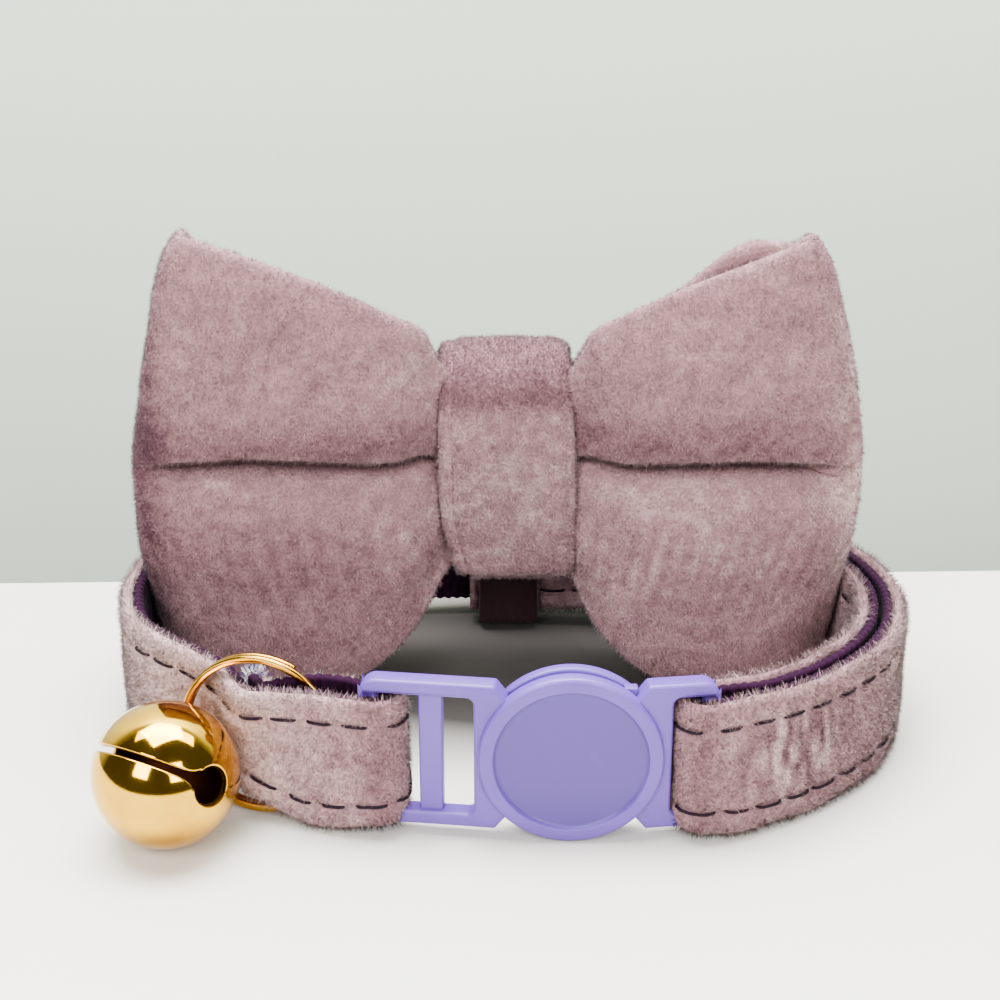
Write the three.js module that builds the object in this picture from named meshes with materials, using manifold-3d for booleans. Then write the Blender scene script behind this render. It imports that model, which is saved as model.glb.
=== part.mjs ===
// Pet bow tie collar: a velvet-faced strap doubled back through a round breakaway buckle,
// a jingle bell on a split ring, and a loop bow that stands inside the back of the ring.
// Units are millimetres. +Z is up, +X runs along the buckle and the wearer's neck is inside the ring.
// Working frame: y = 0 is the face of the buckle's disc, z = 0 the surface the collar stands on.
import * as THREE from "three";
import { mergeVertices } from "three/addons/utils/BufferGeometryUtils.js";
import Module from "manifold-3d";

const wasm = await Module();
wasm.setup();

// ---------------------------------------------------------------- driving dimensions
const WEBBING = 0.8; // thickness of the nylon webbing
const VELVET = 1.3; // thickness of the velvet facing, pile included
const SEAM = 0.15; // gap kept between webbing and velvet
const HEM = 0.5; // the webbing stops this far inside the velvet's edges
const LAYER_GAP = 0.45; // free space between the two webbing layers of the doubled strap

const BUCKLE = {
  axisX: 5.55,
  axisZ: 7.4,
  discRadius: 7.3,
  recessRadius: 6.1,
  recessDepth: 0.5,
  discThick: 1.2,
  rearRadius: 7.15,
  rearNear: 2.1, // where the rear disc starts behind the front disc's face
  rearFar: 3.2,
  frameFront: 0.5,
  frameThick: 1.7,
  frameLow: 1.0,
  frameHigh: 13.8,
  railHigh: 1.2, // height of the top and the bottom rail
  sweepDeg: 7.3, // each frame is swept back from the disc
  corner: 1.3,
  barThick: 0.9,
};
const LEFT_FRAME = { end: -11.1, bar: 1.35, slotEnd: -6.5, post: 1.9, windowEnd: -2.1 };
const RIGHT_FRAME = { end: 17.1, bar: 1.1, slotEnd: 12.7 };
const TONGUE = { thick: 0.5, front: 1.4, halfHigh: 3.6, reach: 9.0 };

const BELL = { x: -26.45, y: 1.2, radius: 5.6, wall: 0.5, slot: 0.6, hole: 1.45 };
const CLAPPER_RADIUS = 1.7;
const SHANK = { wire: 0.32, radius: 0.98 };
const RING = { x: -19.45, y: 5.83, z: 6.72, outer: 6.7, radial: 0.65, axial: 0.44, yawDeg: 15 };

const KNOT = { front: 24.0, back: 37.2, low: 10.0, high: 34.2, wall: 1.6, round: 2.4 };
const ELASTIC = { x: 0.8, wide: 5.0, thick: 0.7, ease: 0.25 };
const BOW = { cloth: 1.9, crease: -0.01, midWaist: 30.25, midFold: 26.8, narrow: 0.03 };

// The outer layer of the strap, clockwise from the left bar to the right bar: the plan line where
// velvet meets webbing, and the velvet's lower and upper edge. The strap is pinched by the split ring
// near x = -21.6, narrows in both slots, and rides over the bow's elastic at the back.
const COURSE = [
  { x: -10.1, y: 1.6, low: 0.7, high: 12.4 },
  { x: -12.4, y: 2.1, low: 0.3, high: 12.4 },
  { x: -15.2, y: 3.0, low: 0.2, high: 12.3 },
  { x: -18.0, y: 3.9, low: 1.0, high: 12.0 },
  { x: -20.1, y: 4.9, low: 1.8, high: 11.5 },
  { x: -21.4, y: 6.9, low: 2.0, high: 11.4 },
  { x: -22.7, y: 8.9, low: 1.6, high: 11.6 },
  { x: -25.2, y: 10.8, low: 0.3, high: 12.1 },
  { x: -28.2, y: 13.1, low: 0.0, high: 12.3 },
  { x: -30.5, y: 15.8, low: 0.0, high: 12.3 },
  { x: -31.9, y: 20.0, low: 0.0, high: 12.3 },
  { x: -32.3, y: 25.0, low: 0.0, high: 12.3 },
  { x: -30.8, y: 31.0, low: 0.2, high: 12.5 },
  { x: -26.6, y: 36.2, low: 0.6, high: 12.9 },
  { x: -19.5, y: 39.8, low: 1.1, high: 13.4 },
  { x: -10.0, y: 41.4, low: 1.3, high: 13.6 },
  { x: 0.0, y: 41.8, low: 1.3, high: 13.6 },
  { x: 10.0, y: 41.6, low: 1.3, high: 13.6 },
  { x: 20.0, y: 39.9, low: 1.0, high: 13.3 },
  { x: 27.8, y: 35.6, low: 0.5, high: 12.8 },
  { x: 32.2, y: 30.0, low: 0.1, high: 12.4 },
  { x: 34.1, y: 24.0, low: 0.0, high: 12.3 },
  { x: 34.0, y: 19.0, low: 0.0, high: 12.3 },
  { x: 32.7, y: 14.4, low: 0.0, high: 12.3 },
  { x: 30.2, y: 10.2, low: 0.0, high: 12.3 },
  { x: 26.6, y: 6.5, low: 0.0, high: 12.3 },
  { x: 22.4, y: 3.5, low: 0.1, high: 12.4 },
  { x: 19.0, y: 1.8, low: 0.2, high: 12.5 },
  { x: 16.55, y: 0.9, low: 0.5, high: 12.4 },
];
const CUT_END_X = -21.6; // where the strap's cut end stops inside the front left
const BAR_GAP = 1.3; // layer gap round a buckle bar
const RING_GAP = 2.0; // layer gap where the split ring passes between the layers
const SLOT_LOW = 2.45; // the strap narrows to this lower edge inside the slots
const RETURN_END_X = -3.0; // the doubled layer ends behind the knot

// Half the bow's outline: height of the top and bottom edge at a distance out from the knot's middle.
const OUTLINE = [
  { out: 0.0, top: 31.9, bottom: 12.5 },
  { out: 5.9, top: 31.8, bottom: 12.6 },
  { out: 6.8, top: 33.6, bottom: 10.4 },
  { out: 7.8, top: 34.8, bottom: 7.8 },
  { out: 9.5, top: 35.9, bottom: 4.9 },
  { out: 12.0, top: 37.4, bottom: 2.8 },
  { out: 15.5, top: 39.0, bottom: 1.3 },
  { out: 19.5, top: 40.6, bottom: 0.7 },
  { out: 24.0, top: 42.0, bottom: 0.4 },
  { out: 28.4, top: 42.9, bottom: 0.4 },
  { out: 33.5, top: 43.1, bottom: 0.4 },
];
// How far out each wing's folded end reaches, from its bottom corner (-1) to its top corner (1).
const WING_END = [
  { up: -1.0, left: 28.4, right: 26.4 },
  { up: -0.85, left: 29.9, right: 27.4 },
  { up: -0.65, left: 30.6, right: 28.0 },
  { up: -0.46, left: 30.8, right: 28.4 },
  { up: -0.32, left: 32.2, right: 29.9 },
  { up: -0.1, left: 33.0, right: 31.0 },
  { up: 0.1, left: 32.8, right: 31.1 },
  { up: 0.35, left: 31.9, right: 30.4 },
  { up: 0.6, left: 30.9, right: 29.1 },
  { up: 0.8, left: 29.8, right: 27.9 },
  { up: 0.92, left: 29.0, right: 27.0 },
  { up: 1.0, left: 28.4, right: 26.4 },
];
// Depth of a wing's front face before its middle plane, from the waist (0) to the fold (1):
// on the two puffs, in the crease between them, and along the top and bottom edges.
const PUFF = [
  { along: 0.0, puff: 4.1, crease: 4.0, edge: 4.1 },
  { along: 0.205, puff: 4.05, crease: 3.6, edge: 4.05 },
  { along: 0.25, puff: 5.4, crease: 3.2, edge: 4.7 },
  { along: 0.32, puff: 6.6, crease: 3.3, edge: 5.4 },
  { along: 0.45, puff: 7.2, crease: 4.4, edge: 5.6 },
  { along: 0.62, puff: 6.9, crease: 5.2, edge: 5.2 },
  { along: 0.8, puff: 5.8, crease: 5.0, edge: 4.4 },
  { along: 0.92, puff: 4.2, crease: 3.9, edge: 3.3 },
  { along: 1.0, puff: 1.6, crease: 1.6, edge: 1.6 },
];

const KNOT_MIDDLE = 0.6; // the knot sits this far right of the working frame's middle
const WAIST_Z = 22.2;

// ---------------------------------------------------------------- helpers
const V = (x, y, z) => new THREE.Vector3(x, y, z);
const radians = THREE.MathUtils.degToRad;
const range = (n) => Array.from({ length: n }, (_, i) => i);

// The value of one column of a table at a place in its key column, on a smooth curve.
function column(rows, key, at, name) {
  const last = rows.length - 1;
  const up = rows.findIndex((row) => row[key] >= at);
  const i = Math.min(Math.max(up < 0 ? last : up, 1), last);
  const [a, b] = [rows[i - 1], rows[i]];
  const [before, after] = [rows[Math.max(i - 2, 0)], rows[Math.min(i + 1, last)]];
  const span = b[key] - a[key];
  const t = THREE.MathUtils.clamp((at - a[key]) / span, 0, 1);
  const slopeA = ((b[name] - before[name]) / (b[key] - before[key])) * span;
  const slopeB = ((after[name] - a[name]) / (after[key] - a[key])) * span;
  const [t2, t3] = [t * t, t * t * t];
  return (
    (2 * t3 - 3 * t2 + 1) * a[name] +
    (t3 - 2 * t2 + t) * slopeA +
    (3 * t2 - 2 * t3) * b[name] +
    (t3 - t2) * slopeB
  );
}

// A closed body through equal rings of points. The rings close on each other, or the ends get flat caps.
function loft(rings, closed) {
  const n = rings[0].length;
  const points = rings.flat();
  const index = [];
  const steps = closed ? rings.length : rings.length - 1;
  for (const i of range(steps)) {
    const [a, b] = [i * n, ((i + 1) % rings.length) * n];
    for (const j of range(n)) {
      const k = (j + 1) % n;
      index.push(a + j, a + k, b + k, a + j, b + k, b + j);
    }
  }
  if (!closed) {
    const end = (rings.length - 1) * n;
    for (const j of range(n - 2)) {
      index.push(0, j + 2, j + 1);
      index.push(end, end + j + 1, end + j + 2);
    }
  }
  const geometry = new THREE.BufferGeometry().setFromPoints(points);
  geometry.setIndex(index);
  return facingOut(geometry);
}

// Turns every face of an indexed closed body if its volume comes out negative.
function facingOut(geometry) {
  const p = geometry.getAttribute("position");
  const index = geometry.index.array;
  const [a, b, c] = [V(), V(), V()];
  let volume = 0;
  for (let i = 0; i < index.length; i += 3) {
    a.fromBufferAttribute(p, index[i]);
    b.fromBufferAttribute(p, index[i + 1]);
    c.fromBufferAttribute(p, index[i + 2]);
    volume += a.dot(b.cross(c));
  }
  if (volume < 0) geometry.setIndex([...index].reverse());
  return geometry;
}

function solid(geometry) {
  const bare = geometry.clone();
  for (const name of ["normal", "uv"]) bare.deleteAttribute(name);
  const merged = mergeVertices(bare, 1e-4);
  return new wasm.Manifold(
    new wasm.Mesh({
      numProp: 3,
      vertProperties: merged.getAttribute("position").array,
      triVerts: new Uint32Array(merged.index.array),
    }),
  );
}

function geometryOf(manifold) {
  const { numProp, vertProperties, triVerts } = manifold.getMesh();
  const geometry = new THREE.BufferGeometry();
  const places = new THREE.BufferAttribute(new Float32Array(vertProperties), numProp);
  geometry.setAttribute("position", places);
  geometry.setIndex([...triVerts]);
  return geometry;
}

// A plate with an outline in x and z, from y = front to y = front + thick.
function plate(shape, front, thick) {
  const geometry = new THREE.ExtrudeGeometry(shape, {
    depth: thick,
    bevelEnabled: false,
    curveSegments: 6,
  });
  return geometry.rotateX(Math.PI / 2).translate(0, front + thick, 0);
}

// A rectangle between two corners, with its corners rounded.
function rounded(x0, z0, x1, z1, r, Kind = THREE.Shape) {
  const outline = new Kind();
  outline.moveTo(x0 + r, z0);
  outline.lineTo(x1 - r, z0);
  outline.absarc(x1 - r, z0 + r, r, -Math.PI / 2, 0);
  outline.lineTo(x1, z1 - r);
  outline.absarc(x1 - r, z1 - r, r, 0, Math.PI / 2);
  outline.lineTo(x0 + r, z1);
  outline.absarc(x0 + r, z1 - r, r, Math.PI / 2, Math.PI);
  outline.lineTo(x0, z0 + r);
  outline.absarc(x0 + r, z0 + r, r, Math.PI, 1.5 * Math.PI);
  return outline;
}

// A short cylinder along y at the buckle's disc axis.
function disc(radius, near, far, segments = 64) {
  return new THREE.CylinderGeometry(radius, radius, far - near, segments).translate(
    BUCKLE.axisX,
    (near + far) / 2,
    BUCKLE.axisZ,
  );
}

// ---------------------------------------------------------------- strap
// The outer layer as stations along its plan line, each with the direction to its velvet side and the
// heights of its edges.
function outerStations(count) {
  const corners = COURSE.map((row) => V(row.x, row.y, 0));
  const line = new THREE.CatmullRomCurve3(corners, false, "centripetal");
  const rows = COURSE.map((row, along) => ({ along, ...row }));
  return range(count).map((i) => {
    const t = i / (count - 1);
    const at = line.getPoint(t);
    const ahead = line.getTangent(t);
    const along = t * (rows.length - 1);
    const low = column(rows, "along", along, "low");
    const high = column(rows, "along", along, "high");
    return { x: at.x, y: at.y, nx: -ahead.y, ny: ahead.x, low, high };
  });
}

// A station moved through the strap to the facing layer, whose velvet looks the other way.
function facing(station, gap) {
  const reach = 2 * WEBBING + gap;
  const { nx, ny } = station;
  return { ...station, x: station.x - nx * reach, y: station.y - ny * reach, nx: -nx, ny: -ny };
}

// The half turn round a bar that follows a station, to the left (1) or to the right (-1).
function barTurn(first, sense, steps = 9) {
  const r = WEBBING + BAR_GAP / 2;
  const [cx, cy] = [first.x - first.nx * r, first.y - first.ny * r];
  const start = Math.atan2(first.ny, first.nx);
  return range(steps - 1).map((i) => {
    const turn = start + (sense * Math.PI * (i + 1)) / steps;
    const [nx, ny] = [Math.cos(turn), Math.sin(turn)];
    const inSlot = THREE.MathUtils.smoothstep(Math.sin((Math.PI * (i + 1)) / steps), 0, 0.6);
    const low = THREE.MathUtils.lerp(first.low, SLOT_LOW, inSlot);
    return { ...first, x: cx + nx * r, y: cy + ny * r, nx, ny, low };
  });
}

// The whole strap: cut end, left bar, outer layer, right bar, and the return to the back.
function strapStations() {
  const outer = outerStations(113);
  const smooth = THREE.MathUtils.smoothstep;
  const mix = THREE.MathUtils.lerp;
  const cutEnd = outer
    .slice(0, outer.findIndex((s) => s.x <= CUT_END_X))
    .map((s) => {
      const atRing = mix(LAYER_GAP, RING_GAP, smooth(s.x, -20.5, -14.5));
      return facing(s, mix(atRing, BAR_GAP, smooth(s.x, -13.0, -10.2)));
    });
  const back = outer
    .slice(outer.findLastIndex((s) => s.x <= RETURN_END_X) + 1)
    .map((s) => {
      const fromBar = Math.hypot(s.x - outer.at(-1).x, s.y - outer.at(-1).y);
      return facing(s, mix(BAR_GAP, LAYER_GAP, smooth(fromBar, 0.5, 7)));
    });
  const leftTurn = barTurn(outer[0], 1);
  const rightTurn = barTurn(outer.at(-1), -1);
  return [...cutEnd.reverse(), ...leftTurn.reverse(), ...outer, ...rightTurn, ...back.reverse()];
}

// A ribbon along the stations between two offsets to the velvet side, inset from the edges.
function ribbon(stations, near, far, inset, soften) {
  const rings = stations.map(({ x, y, nx, ny, low, high }) => {
    const at = (off, z) => V(x + nx * off, y + ny * off, z);
    const [z0, z1] = [low + inset, high - inset];
    return [
      at(near, z0),
      at(far - soften, z0),
      at(far, z0 + soften),
      at(far, z1 - soften),
      at(far - soften, z1),
      at(near, z1),
    ];
  });
  return loft(rings, false);
}

// ---------------------------------------------------------------- buckle
// One flat frame with its slot, turned back about the disc's edge.
function frame(side, cuts) {
  const { frameFront: front, frameThick: thick, frameLow: low, frameHigh: high } = BUCKLE;
  const left = side < 0;
  const end = left ? LEFT_FRAME.end : RIGHT_FRAME.end;
  const inner = BUCKLE.axisX + side * 5.0;
  const outline = new THREE.Shape();
  const r = BUCKLE.corner;
  const chamfer = BUCKLE.axisX + side * 6.0;
  outline.moveTo(inner, low + 1.3);
  outline.lineTo(chamfer, low);
  outline.lineTo(end - side * r, low);
  outline.quadraticCurveTo(end, low, end, low + r);
  outline.lineTo(end, high - r);
  outline.quadraticCurveTo(end, high, end - side * r, high);
  outline.lineTo(chamfer, high);
  outline.lineTo(inner, high - 1.3);
  outline.closePath();
  let body = solid(plate(outline, front, thick));
  for (const cut of cuts) body = body.subtract(solid(plate(cut.shape, cut.front, cut.thick)));
  return body;
}

function opening(x0, x1, r) {
  const [z0, z1] = [BUCKLE.frameLow + BUCKLE.railHigh, BUCKLE.frameHigh - BUCKLE.railHigh];
  return { shape: rounded(x0, z0, x1, z1, r), front: -1, thick: 6 };
}

// Thins a bar and the bottom rail at its end to their rear part, where the strap lies over them.
function barRelief(x0, x1, leave) {
  const thick = 1 + BUCKLE.frameFront + BUCKLE.frameThick - leave;
  const shape = rounded(x0, -1, x1, BUCKLE.frameHigh - BUCKLE.railHigh, 0.05);
  return { shape, front: -1, thick };
}

// Turns a frame back about the upright line where it leaves the disc.
function swept(geometry, side) {
  const hinge = BUCKLE.axisX + side * 6.0;
  return geometry
    .translate(-hinge, -BUCKLE.frameFront, 0)
    .rotateZ(radians(side * BUCKLE.sweepDeg))
    .translate(hinge, BUCKLE.frameFront, 0);
}

function housing() {
  const { end, bar, slotEnd, post, windowEnd } = LEFT_FRAME;
  const plain = frame(-1, [
    opening(end + bar, slotEnd, 0.3),
    opening(slotEnd + post, windowEnd, 0.6),
    barRelief(end - 1, end + bar + 0.1, BUCKLE.barThick),
  ]);
  const { discRadius, recessRadius, recessDepth, discThick, rearRadius, rearNear, rearFar } = BUCKLE;
  const front = solid(disc(discRadius, 0, discThick));
  const recess = solid(disc(recessRadius, -1, recessDepth));
  const rear = solid(disc(rearRadius, rearNear, rearFar));
  const joint = new THREE.BoxGeometry(3.4, rearFar - 0.3, 11).translate(
    BUCKLE.axisX - 5.2,
    0.3 + (rearFar - 0.3) / 2,
    BUCKLE.axisZ,
  );
  const web = solid(joint).intersect(solid(disc(rearRadius, 0, rearFar)));
  const clear = solid(
    plate(tongueOutline(0.3), discThick, rearNear - discThick),
  );
  return geometryOf(
    solid(swept(geometryOf(plain), -1)).add(front).subtract(recess).add(rear).add(web).subtract(clear),
  );
}

// The tongue's outline, grown by a clearance.
function tongueOutline(grow) {
  const { halfHigh, reach } = TONGUE;
  const tip = RIGHT_FRAME.slotEnd - 1.4 - reach - grow;
  const outline = new THREE.Shape();
  outline.moveTo(RIGHT_FRAME.slotEnd, BUCKLE.axisZ - halfHigh - grow);
  outline.lineTo(RIGHT_FRAME.slotEnd, BUCKLE.axisZ + halfHigh + grow);
  outline.lineTo(tip + 2, BUCKLE.axisZ + halfHigh + grow);
  outline.quadraticCurveTo(tip, BUCKLE.axisZ + halfHigh, tip, BUCKLE.axisZ + 1);
  outline.lineTo(tip, BUCKLE.axisZ - 1);
  outline.quadraticCurveTo(tip, BUCKLE.axisZ - halfHigh, tip + 2, BUCKLE.axisZ - halfHigh - grow);
  return outline;
}

function tongue() {
  const { end, bar, slotEnd } = RIGHT_FRAME;
  const plain = frame(1, [
    opening(slotEnd, end - bar, 0.3),
    barRelief(end - bar - 0.1, end + 1, BUCKLE.barThick),
  ]);
  const clear = solid(disc(BUCKLE.discRadius + 0.15, -1, BUCKLE.rearFar + 2));
  const blade = solid(plate(tongueOutline(0), TONGUE.front, TONGUE.thick));
  return geometryOf(solid(swept(geometryOf(plain), 1)).subtract(clear).add(blade));
}

// ---------------------------------------------------------------- bell and split ring
// The axes of the split ring: outwards to the right in its plane, and through it to the rear.
const RING_RIGHT = V(Math.cos(radians(RING.yawDeg)), -Math.sin(radians(RING.yawDeg)), 0);
const RING_REAR = V(Math.sin(radians(RING.yawDeg)), Math.cos(radians(RING.yawDeg)), 0);
const RING_CENTRE = V(RING.x, RING.y, RING.z);

// A place on the ring's wire: the angle right of the top, the radius, and the offset through the ring.
function onRing(angle, radius, off) {
  return RING_CENTRE.clone()
    .addScaledVector(RING_RIGHT, radius * Math.sin(angle))
    .addScaledVector(V(0, 0, 1), radius * Math.cos(angle))
    .addScaledVector(RING_REAR, off);
}

// Two flat coils side by side: the wire steps from the rear coil to the front one near its ends.
function splitRing() {
  const { outer, radial, axial } = RING;
  const side = axial / 2 + 0.04;
  const [start, turns] = [radians(27), 2 * Math.PI * 1.89];
  const steps = 92;
  const rings = range(steps + 1).map((i) => {
    const run = (turns * i) / steps;
    const step = THREE.MathUtils.smoothstep(run, radians(290), radians(345));
    const off = side - 2 * side * step;
    const [r0, r1, soft] = [outer - radial, outer, 0.16];
    const section = [
      [r0 + soft, -axial / 2],
      [r1 - soft, -axial / 2],
      [r1, -axial / 2 + soft],
      [r1, axial / 2 - soft],
      [r1 - soft, axial / 2],
      [r0 + soft, axial / 2],
      [r0, axial / 2 - soft],
      [r0, -axial / 2 + soft],
    ];
    return section.map(([r, across]) => onRing(start - run, r, off + across));
  });
  return loft(rings, false);
}

// A hollow ball with a slot over its front left that ends in two round holes, and a soldered loop.
function bell() {
  const { x, y, radius, wall, slot, hole } = BELL;
  const centre = V(x, y, radius);
  const ball = (r) => solid(new THREE.SphereGeometry(r, 36, 18));
  const pole = V(-0.611, -0.575, 0.544).normalize();
  const along = V(0.722, -0.686, 0.085).projectOnPlane(pole).normalize();
  const across = pole.clone().cross(along);
  const turn = new THREE.Matrix4().makeBasis(along, across, pole);
  const slit = new THREE.BoxGeometry(radius * 1.96, slot, radius * 2).translate(0, 0, radius);
  const holes = [-1, 1].map((side) =>
    new THREE.CylinderGeometry(hole, hole, radius, 20)
      .translate(0, radius, 0)
      .applyQuaternion(
        new THREE.Quaternion().setFromUnitVectors(V(0, 1, 0), V(side * 0.985, 0, 0.17).normalize()),
      ),
  );
  let shell = ball(radius).subtract(ball(radius - wall));
  for (const cut of [slit, ...holes]) shell = shell.subtract(solid(cut.applyMatrix4(turn)));
  const seat = onRing(-Math.PI / 2, RING.outer - RING.radial / 2, 0);
  const loop = new THREE.TorusGeometry(SHANK.radius, SHANK.wire, 8, 20).translate(seat.x, seat.y, seat.z);
  const outside = solid(loop).subtract(ball(radius - wall).translate([centre.x, centre.y, centre.z]));
  return geometryOf(shell.translate([centre.x, centre.y, centre.z]).add(outside));
}

function clapper() {
  const lift = BELL.wall + CLAPPER_RADIUS + 0.3;
  return new THREE.IcosahedronGeometry(CLAPPER_RADIUS, 2).translate(BELL.x, BELL.y, lift);
}

// ---------------------------------------------------------------- bow
// Depth of the cloth's face before the middle plane at a place along the wing (0 waist, 1 fold) and up
// it (-1 to 1). Two puffs lie above and below the crease.
function puffDepth(along, up) {
  const { crease } = BOW;
  const t = up > crease ? (up - crease) / (1 - crease) : (crease - up) / (1 + crease);
  const at = (name) => column(PUFF, "along", along, name);
  const level = THREE.MathUtils.lerp(at("crease"), at("edge"), t);
  return level + (at("puff") - level) * Math.sin(Math.PI * t) ** 0.7;
}

// A point on the bow's cloth: side is -1 or 1, face 1 is the front and -1 the back, and inset moves it
// into the hollow.
function onBow(side, face, along, up, inset) {
  const reach = column(WING_END, "up", up, side < 0 ? "left" : "right");
  const out = (reach - inset * along) * along;
  const top = column(OUTLINE, "out", out, "top");
  const bottom = column(OUTLINE, "out", out, "bottom");
  const middle = THREE.MathUtils.lerp(BOW.midWaist, BOW.midFold, THREE.MathUtils.smoothstep(along, 0, 1));
  const full = puffDepth(along, up) * (face > 0 ? 1 : 0.82 + 0.18 * (1 - along));
  const depth = Math.max(full - inset, 0.35 * (1 - along) + 0.02);
  const y = middle - face * depth;
  const z = THREE.MathUtils.lerp(bottom, top, (up + 1) / 2);
  return V(KNOT_MIDDLE + side * out, y, narrowed(y, z, side > 0 ? 1 - 0.4 * along : 1 - 0.2 * along));
}

// Heights draw in towards the middle behind the bow's front, where the knot gathers the cloth.
function narrowed(y, z, share) {
  const behind = Math.max(y - (KNOT.front + 1.5), 0);
  return WAIST_Z + (z - WAIST_Z) * (1 - BOW.narrow * share * behind);
}

function bow() {
  const alongs = [0, 0.1, 0.205, 0.24, 0.28, 0.35, 0.43, 0.52, 0.62, 0.72, 0.81, 0.89, 0.95, 0.985, 1];
  const wing = (side) => {
    const front = alongs.map((along) => [side, 1, along]);
    const back = alongs.map((along) => [side, -1, along]).reverse();
    return side > 0 ? [...front, ...back] : [...front, ...back].reverse();
  };
  const places = [...wing(1), ...wing(-1)].filter(([side, , along]) => side > 0 || along > 0);
  const ups = range(15).map((i) => -1 + i / 7);
  const rings = places.map(([side, face, along]) => [
    ...ups.map((up) => onBow(side, face, along, up, 0)),
    ...ups.map((up) => onBow(side, face, along, up, BOW.cloth)).reverse(),
  ]);
  return loft(rings, true);
}

// A band closed round the x axis: a rounded rectangle in y and z, with its two side edges.
function band(inner, wall, round, edges, shape = (y, z) => z) {
  const corner = (cy, cz, from) =>
    range(6).map((i) => ({ cy, cz, turn: from + (i * Math.PI) / 10 }));
  const { y0, y1, z0, z1 } = inner;
  const stations = [
    ...corner(y1 - round, z1 - round, 0),
    ...corner(y0 + round, z1 - round, Math.PI / 2),
    ...corner(y0 + round, (z0 + z1) / 2, Math.PI).slice(0, 1),
    ...corner(y0 + round, z0 + round, Math.PI),
    ...corner(y1 - round, z0 + round, 1.5 * Math.PI),
  ];
  const rings = stations.map(({ cy, cz, turn }) => {
    const at = (r, edge) => {
      const y = cy + r * Math.cos(turn);
      const z = cz + r * Math.sin(turn);
      return V(edges(edge, z), y, shape(y, z));
    };
    return [at(round, 0), at(round + wall, 0), at(round + wall, 1), at(round, 1)];
  });
  return loft(rings, true);
}

function knot() {
  const { front, back, low, high, wall, round } = KNOT;
  const inner = { y0: front + wall, y1: back - wall, z0: low + wall, z1: high - wall };
  const rows = [
    { z: low, left: -3.9, right: 6.2 },
    { z: 16, left: -5.0, right: 6.6 },
    { z: 22, left: -5.2, right: 6.5 },
    { z: high, left: -5.2, right: 5.9 },
  ];
  return band(inner, wall, round - wall, (edge, z) => {
    const at = THREE.MathUtils.clamp(z, low, high);
    return column(rows, "z", at, edge ? "right" : "left");
  }, (y, z) => narrowed(y, z, 1));
}

function elastic() {
  const { x, wide, thick, ease } = ELASTIC;
  const back = COURSE.find((row) => row.x === 0);
  const depth = 2 * WEBBING + LAYER_GAP + SEAM + VELVET;
  const inner = {
    y0: back.y - depth - ease,
    y1: back.y + SEAM + VELVET + ease,
    z0: back.low - ease,
    z1: back.high + ease,
  };
  return band(inner, thick, 0.2, (edge) => x + (edge - 0.5) * wide);
}

// ---------------------------------------------------------------- assembly
const FINISHES = {
  velvet: { color: 0xbea0a5, roughness: 0.95, metalness: 0 },
  webbing: { color: 0x4b1946, roughness: 0.8, metalness: 0 },
  plastic: { color: 0xa99bd6, roughness: 0.45, metalness: 0 },
  gold: { color: 0xe1b969, roughness: 0.2, metalness: 1 },
  elastic: { color: 0x3a2038, roughness: 0.9, metalness: 0 },
};

function piece(name, geometry, finish) {
  const mesh = new THREE.Mesh(geometry, new THREE.MeshStandardMaterial(FINISHES[finish]));
  mesh.name = name;
  return mesh;
}

const stations = strapStations();
const collar = new THREE.Group();
collar.add(
  piece("strap_webbing", ribbon(stations, -WEBBING, 0, HEM, 0.1), "webbing"),
  piece("strap_velvet", ribbon(stations, SEAM, SEAM + VELVET, 0, 0.4), "velvet"),
  piece("buckle_housing", housing(), "plastic"),
  piece("buckle_tongue", tongue(), "plastic"),
  piece("bell_body", bell(), "gold"),
  piece("bell_clapper", clapper(), "gold"),
  piece("split_ring", splitRing(), "gold"),
  piece("bow_body", bow(), "velvet"),
  piece("bow_knot", knot(), "velvet"),
  piece("bow_elastic", elastic(), "elastic"),
);

// The part's origin is the middle of the surface that it stands on.
const box = new THREE.Box3().setFromObject(collar, true);
collar.position.set(-(box.min.x + box.max.x) / 2, -(box.min.y + box.max.y) / 2, -box.min.z);

const part = new THREE.Group();
part.add(collar);
export default part;
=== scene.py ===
"""A fastened velvet pet collar: doubled strap, breakaway buckle, bell on a split ring, padded bow.

Sizes are in millimetres in the buckle's own axes: x to the right along the buckle, y from the disc's
front face to the bow, z up from the table. Datum turns them into the frame's metres.
"""

import logging
import math
from dataclasses import dataclass, field, replace
from enum import Enum
from typing import Any, Callable

import bpy
import numpy as np
from mathutils import Matrix, Vector
from mathutils.geometry import tessellate_polygon


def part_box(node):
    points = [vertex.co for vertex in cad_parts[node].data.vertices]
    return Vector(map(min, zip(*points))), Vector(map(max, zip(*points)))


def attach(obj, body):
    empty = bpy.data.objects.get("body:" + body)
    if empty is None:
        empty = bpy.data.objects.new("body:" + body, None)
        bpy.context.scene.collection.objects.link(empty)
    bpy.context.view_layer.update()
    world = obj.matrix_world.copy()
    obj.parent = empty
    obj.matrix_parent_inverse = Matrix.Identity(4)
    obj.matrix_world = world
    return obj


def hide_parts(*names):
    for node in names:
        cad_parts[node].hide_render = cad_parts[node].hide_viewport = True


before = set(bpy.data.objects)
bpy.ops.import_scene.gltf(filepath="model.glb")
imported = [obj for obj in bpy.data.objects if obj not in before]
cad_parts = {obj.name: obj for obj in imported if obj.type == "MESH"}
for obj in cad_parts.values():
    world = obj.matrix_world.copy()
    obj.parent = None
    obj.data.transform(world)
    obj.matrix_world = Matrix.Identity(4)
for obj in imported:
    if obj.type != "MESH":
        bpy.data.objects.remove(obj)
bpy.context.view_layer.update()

LOG = logging.getLogger("collar")
MM = 0.001
TAU = 2.0 * math.pi
RIM = 4  # points round the rim of every cloth sheet
MATTE = {"Roughness": 0.9, "Specular_IOR_Level": 0.2}
HALF_STAGE = 900.0

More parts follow.
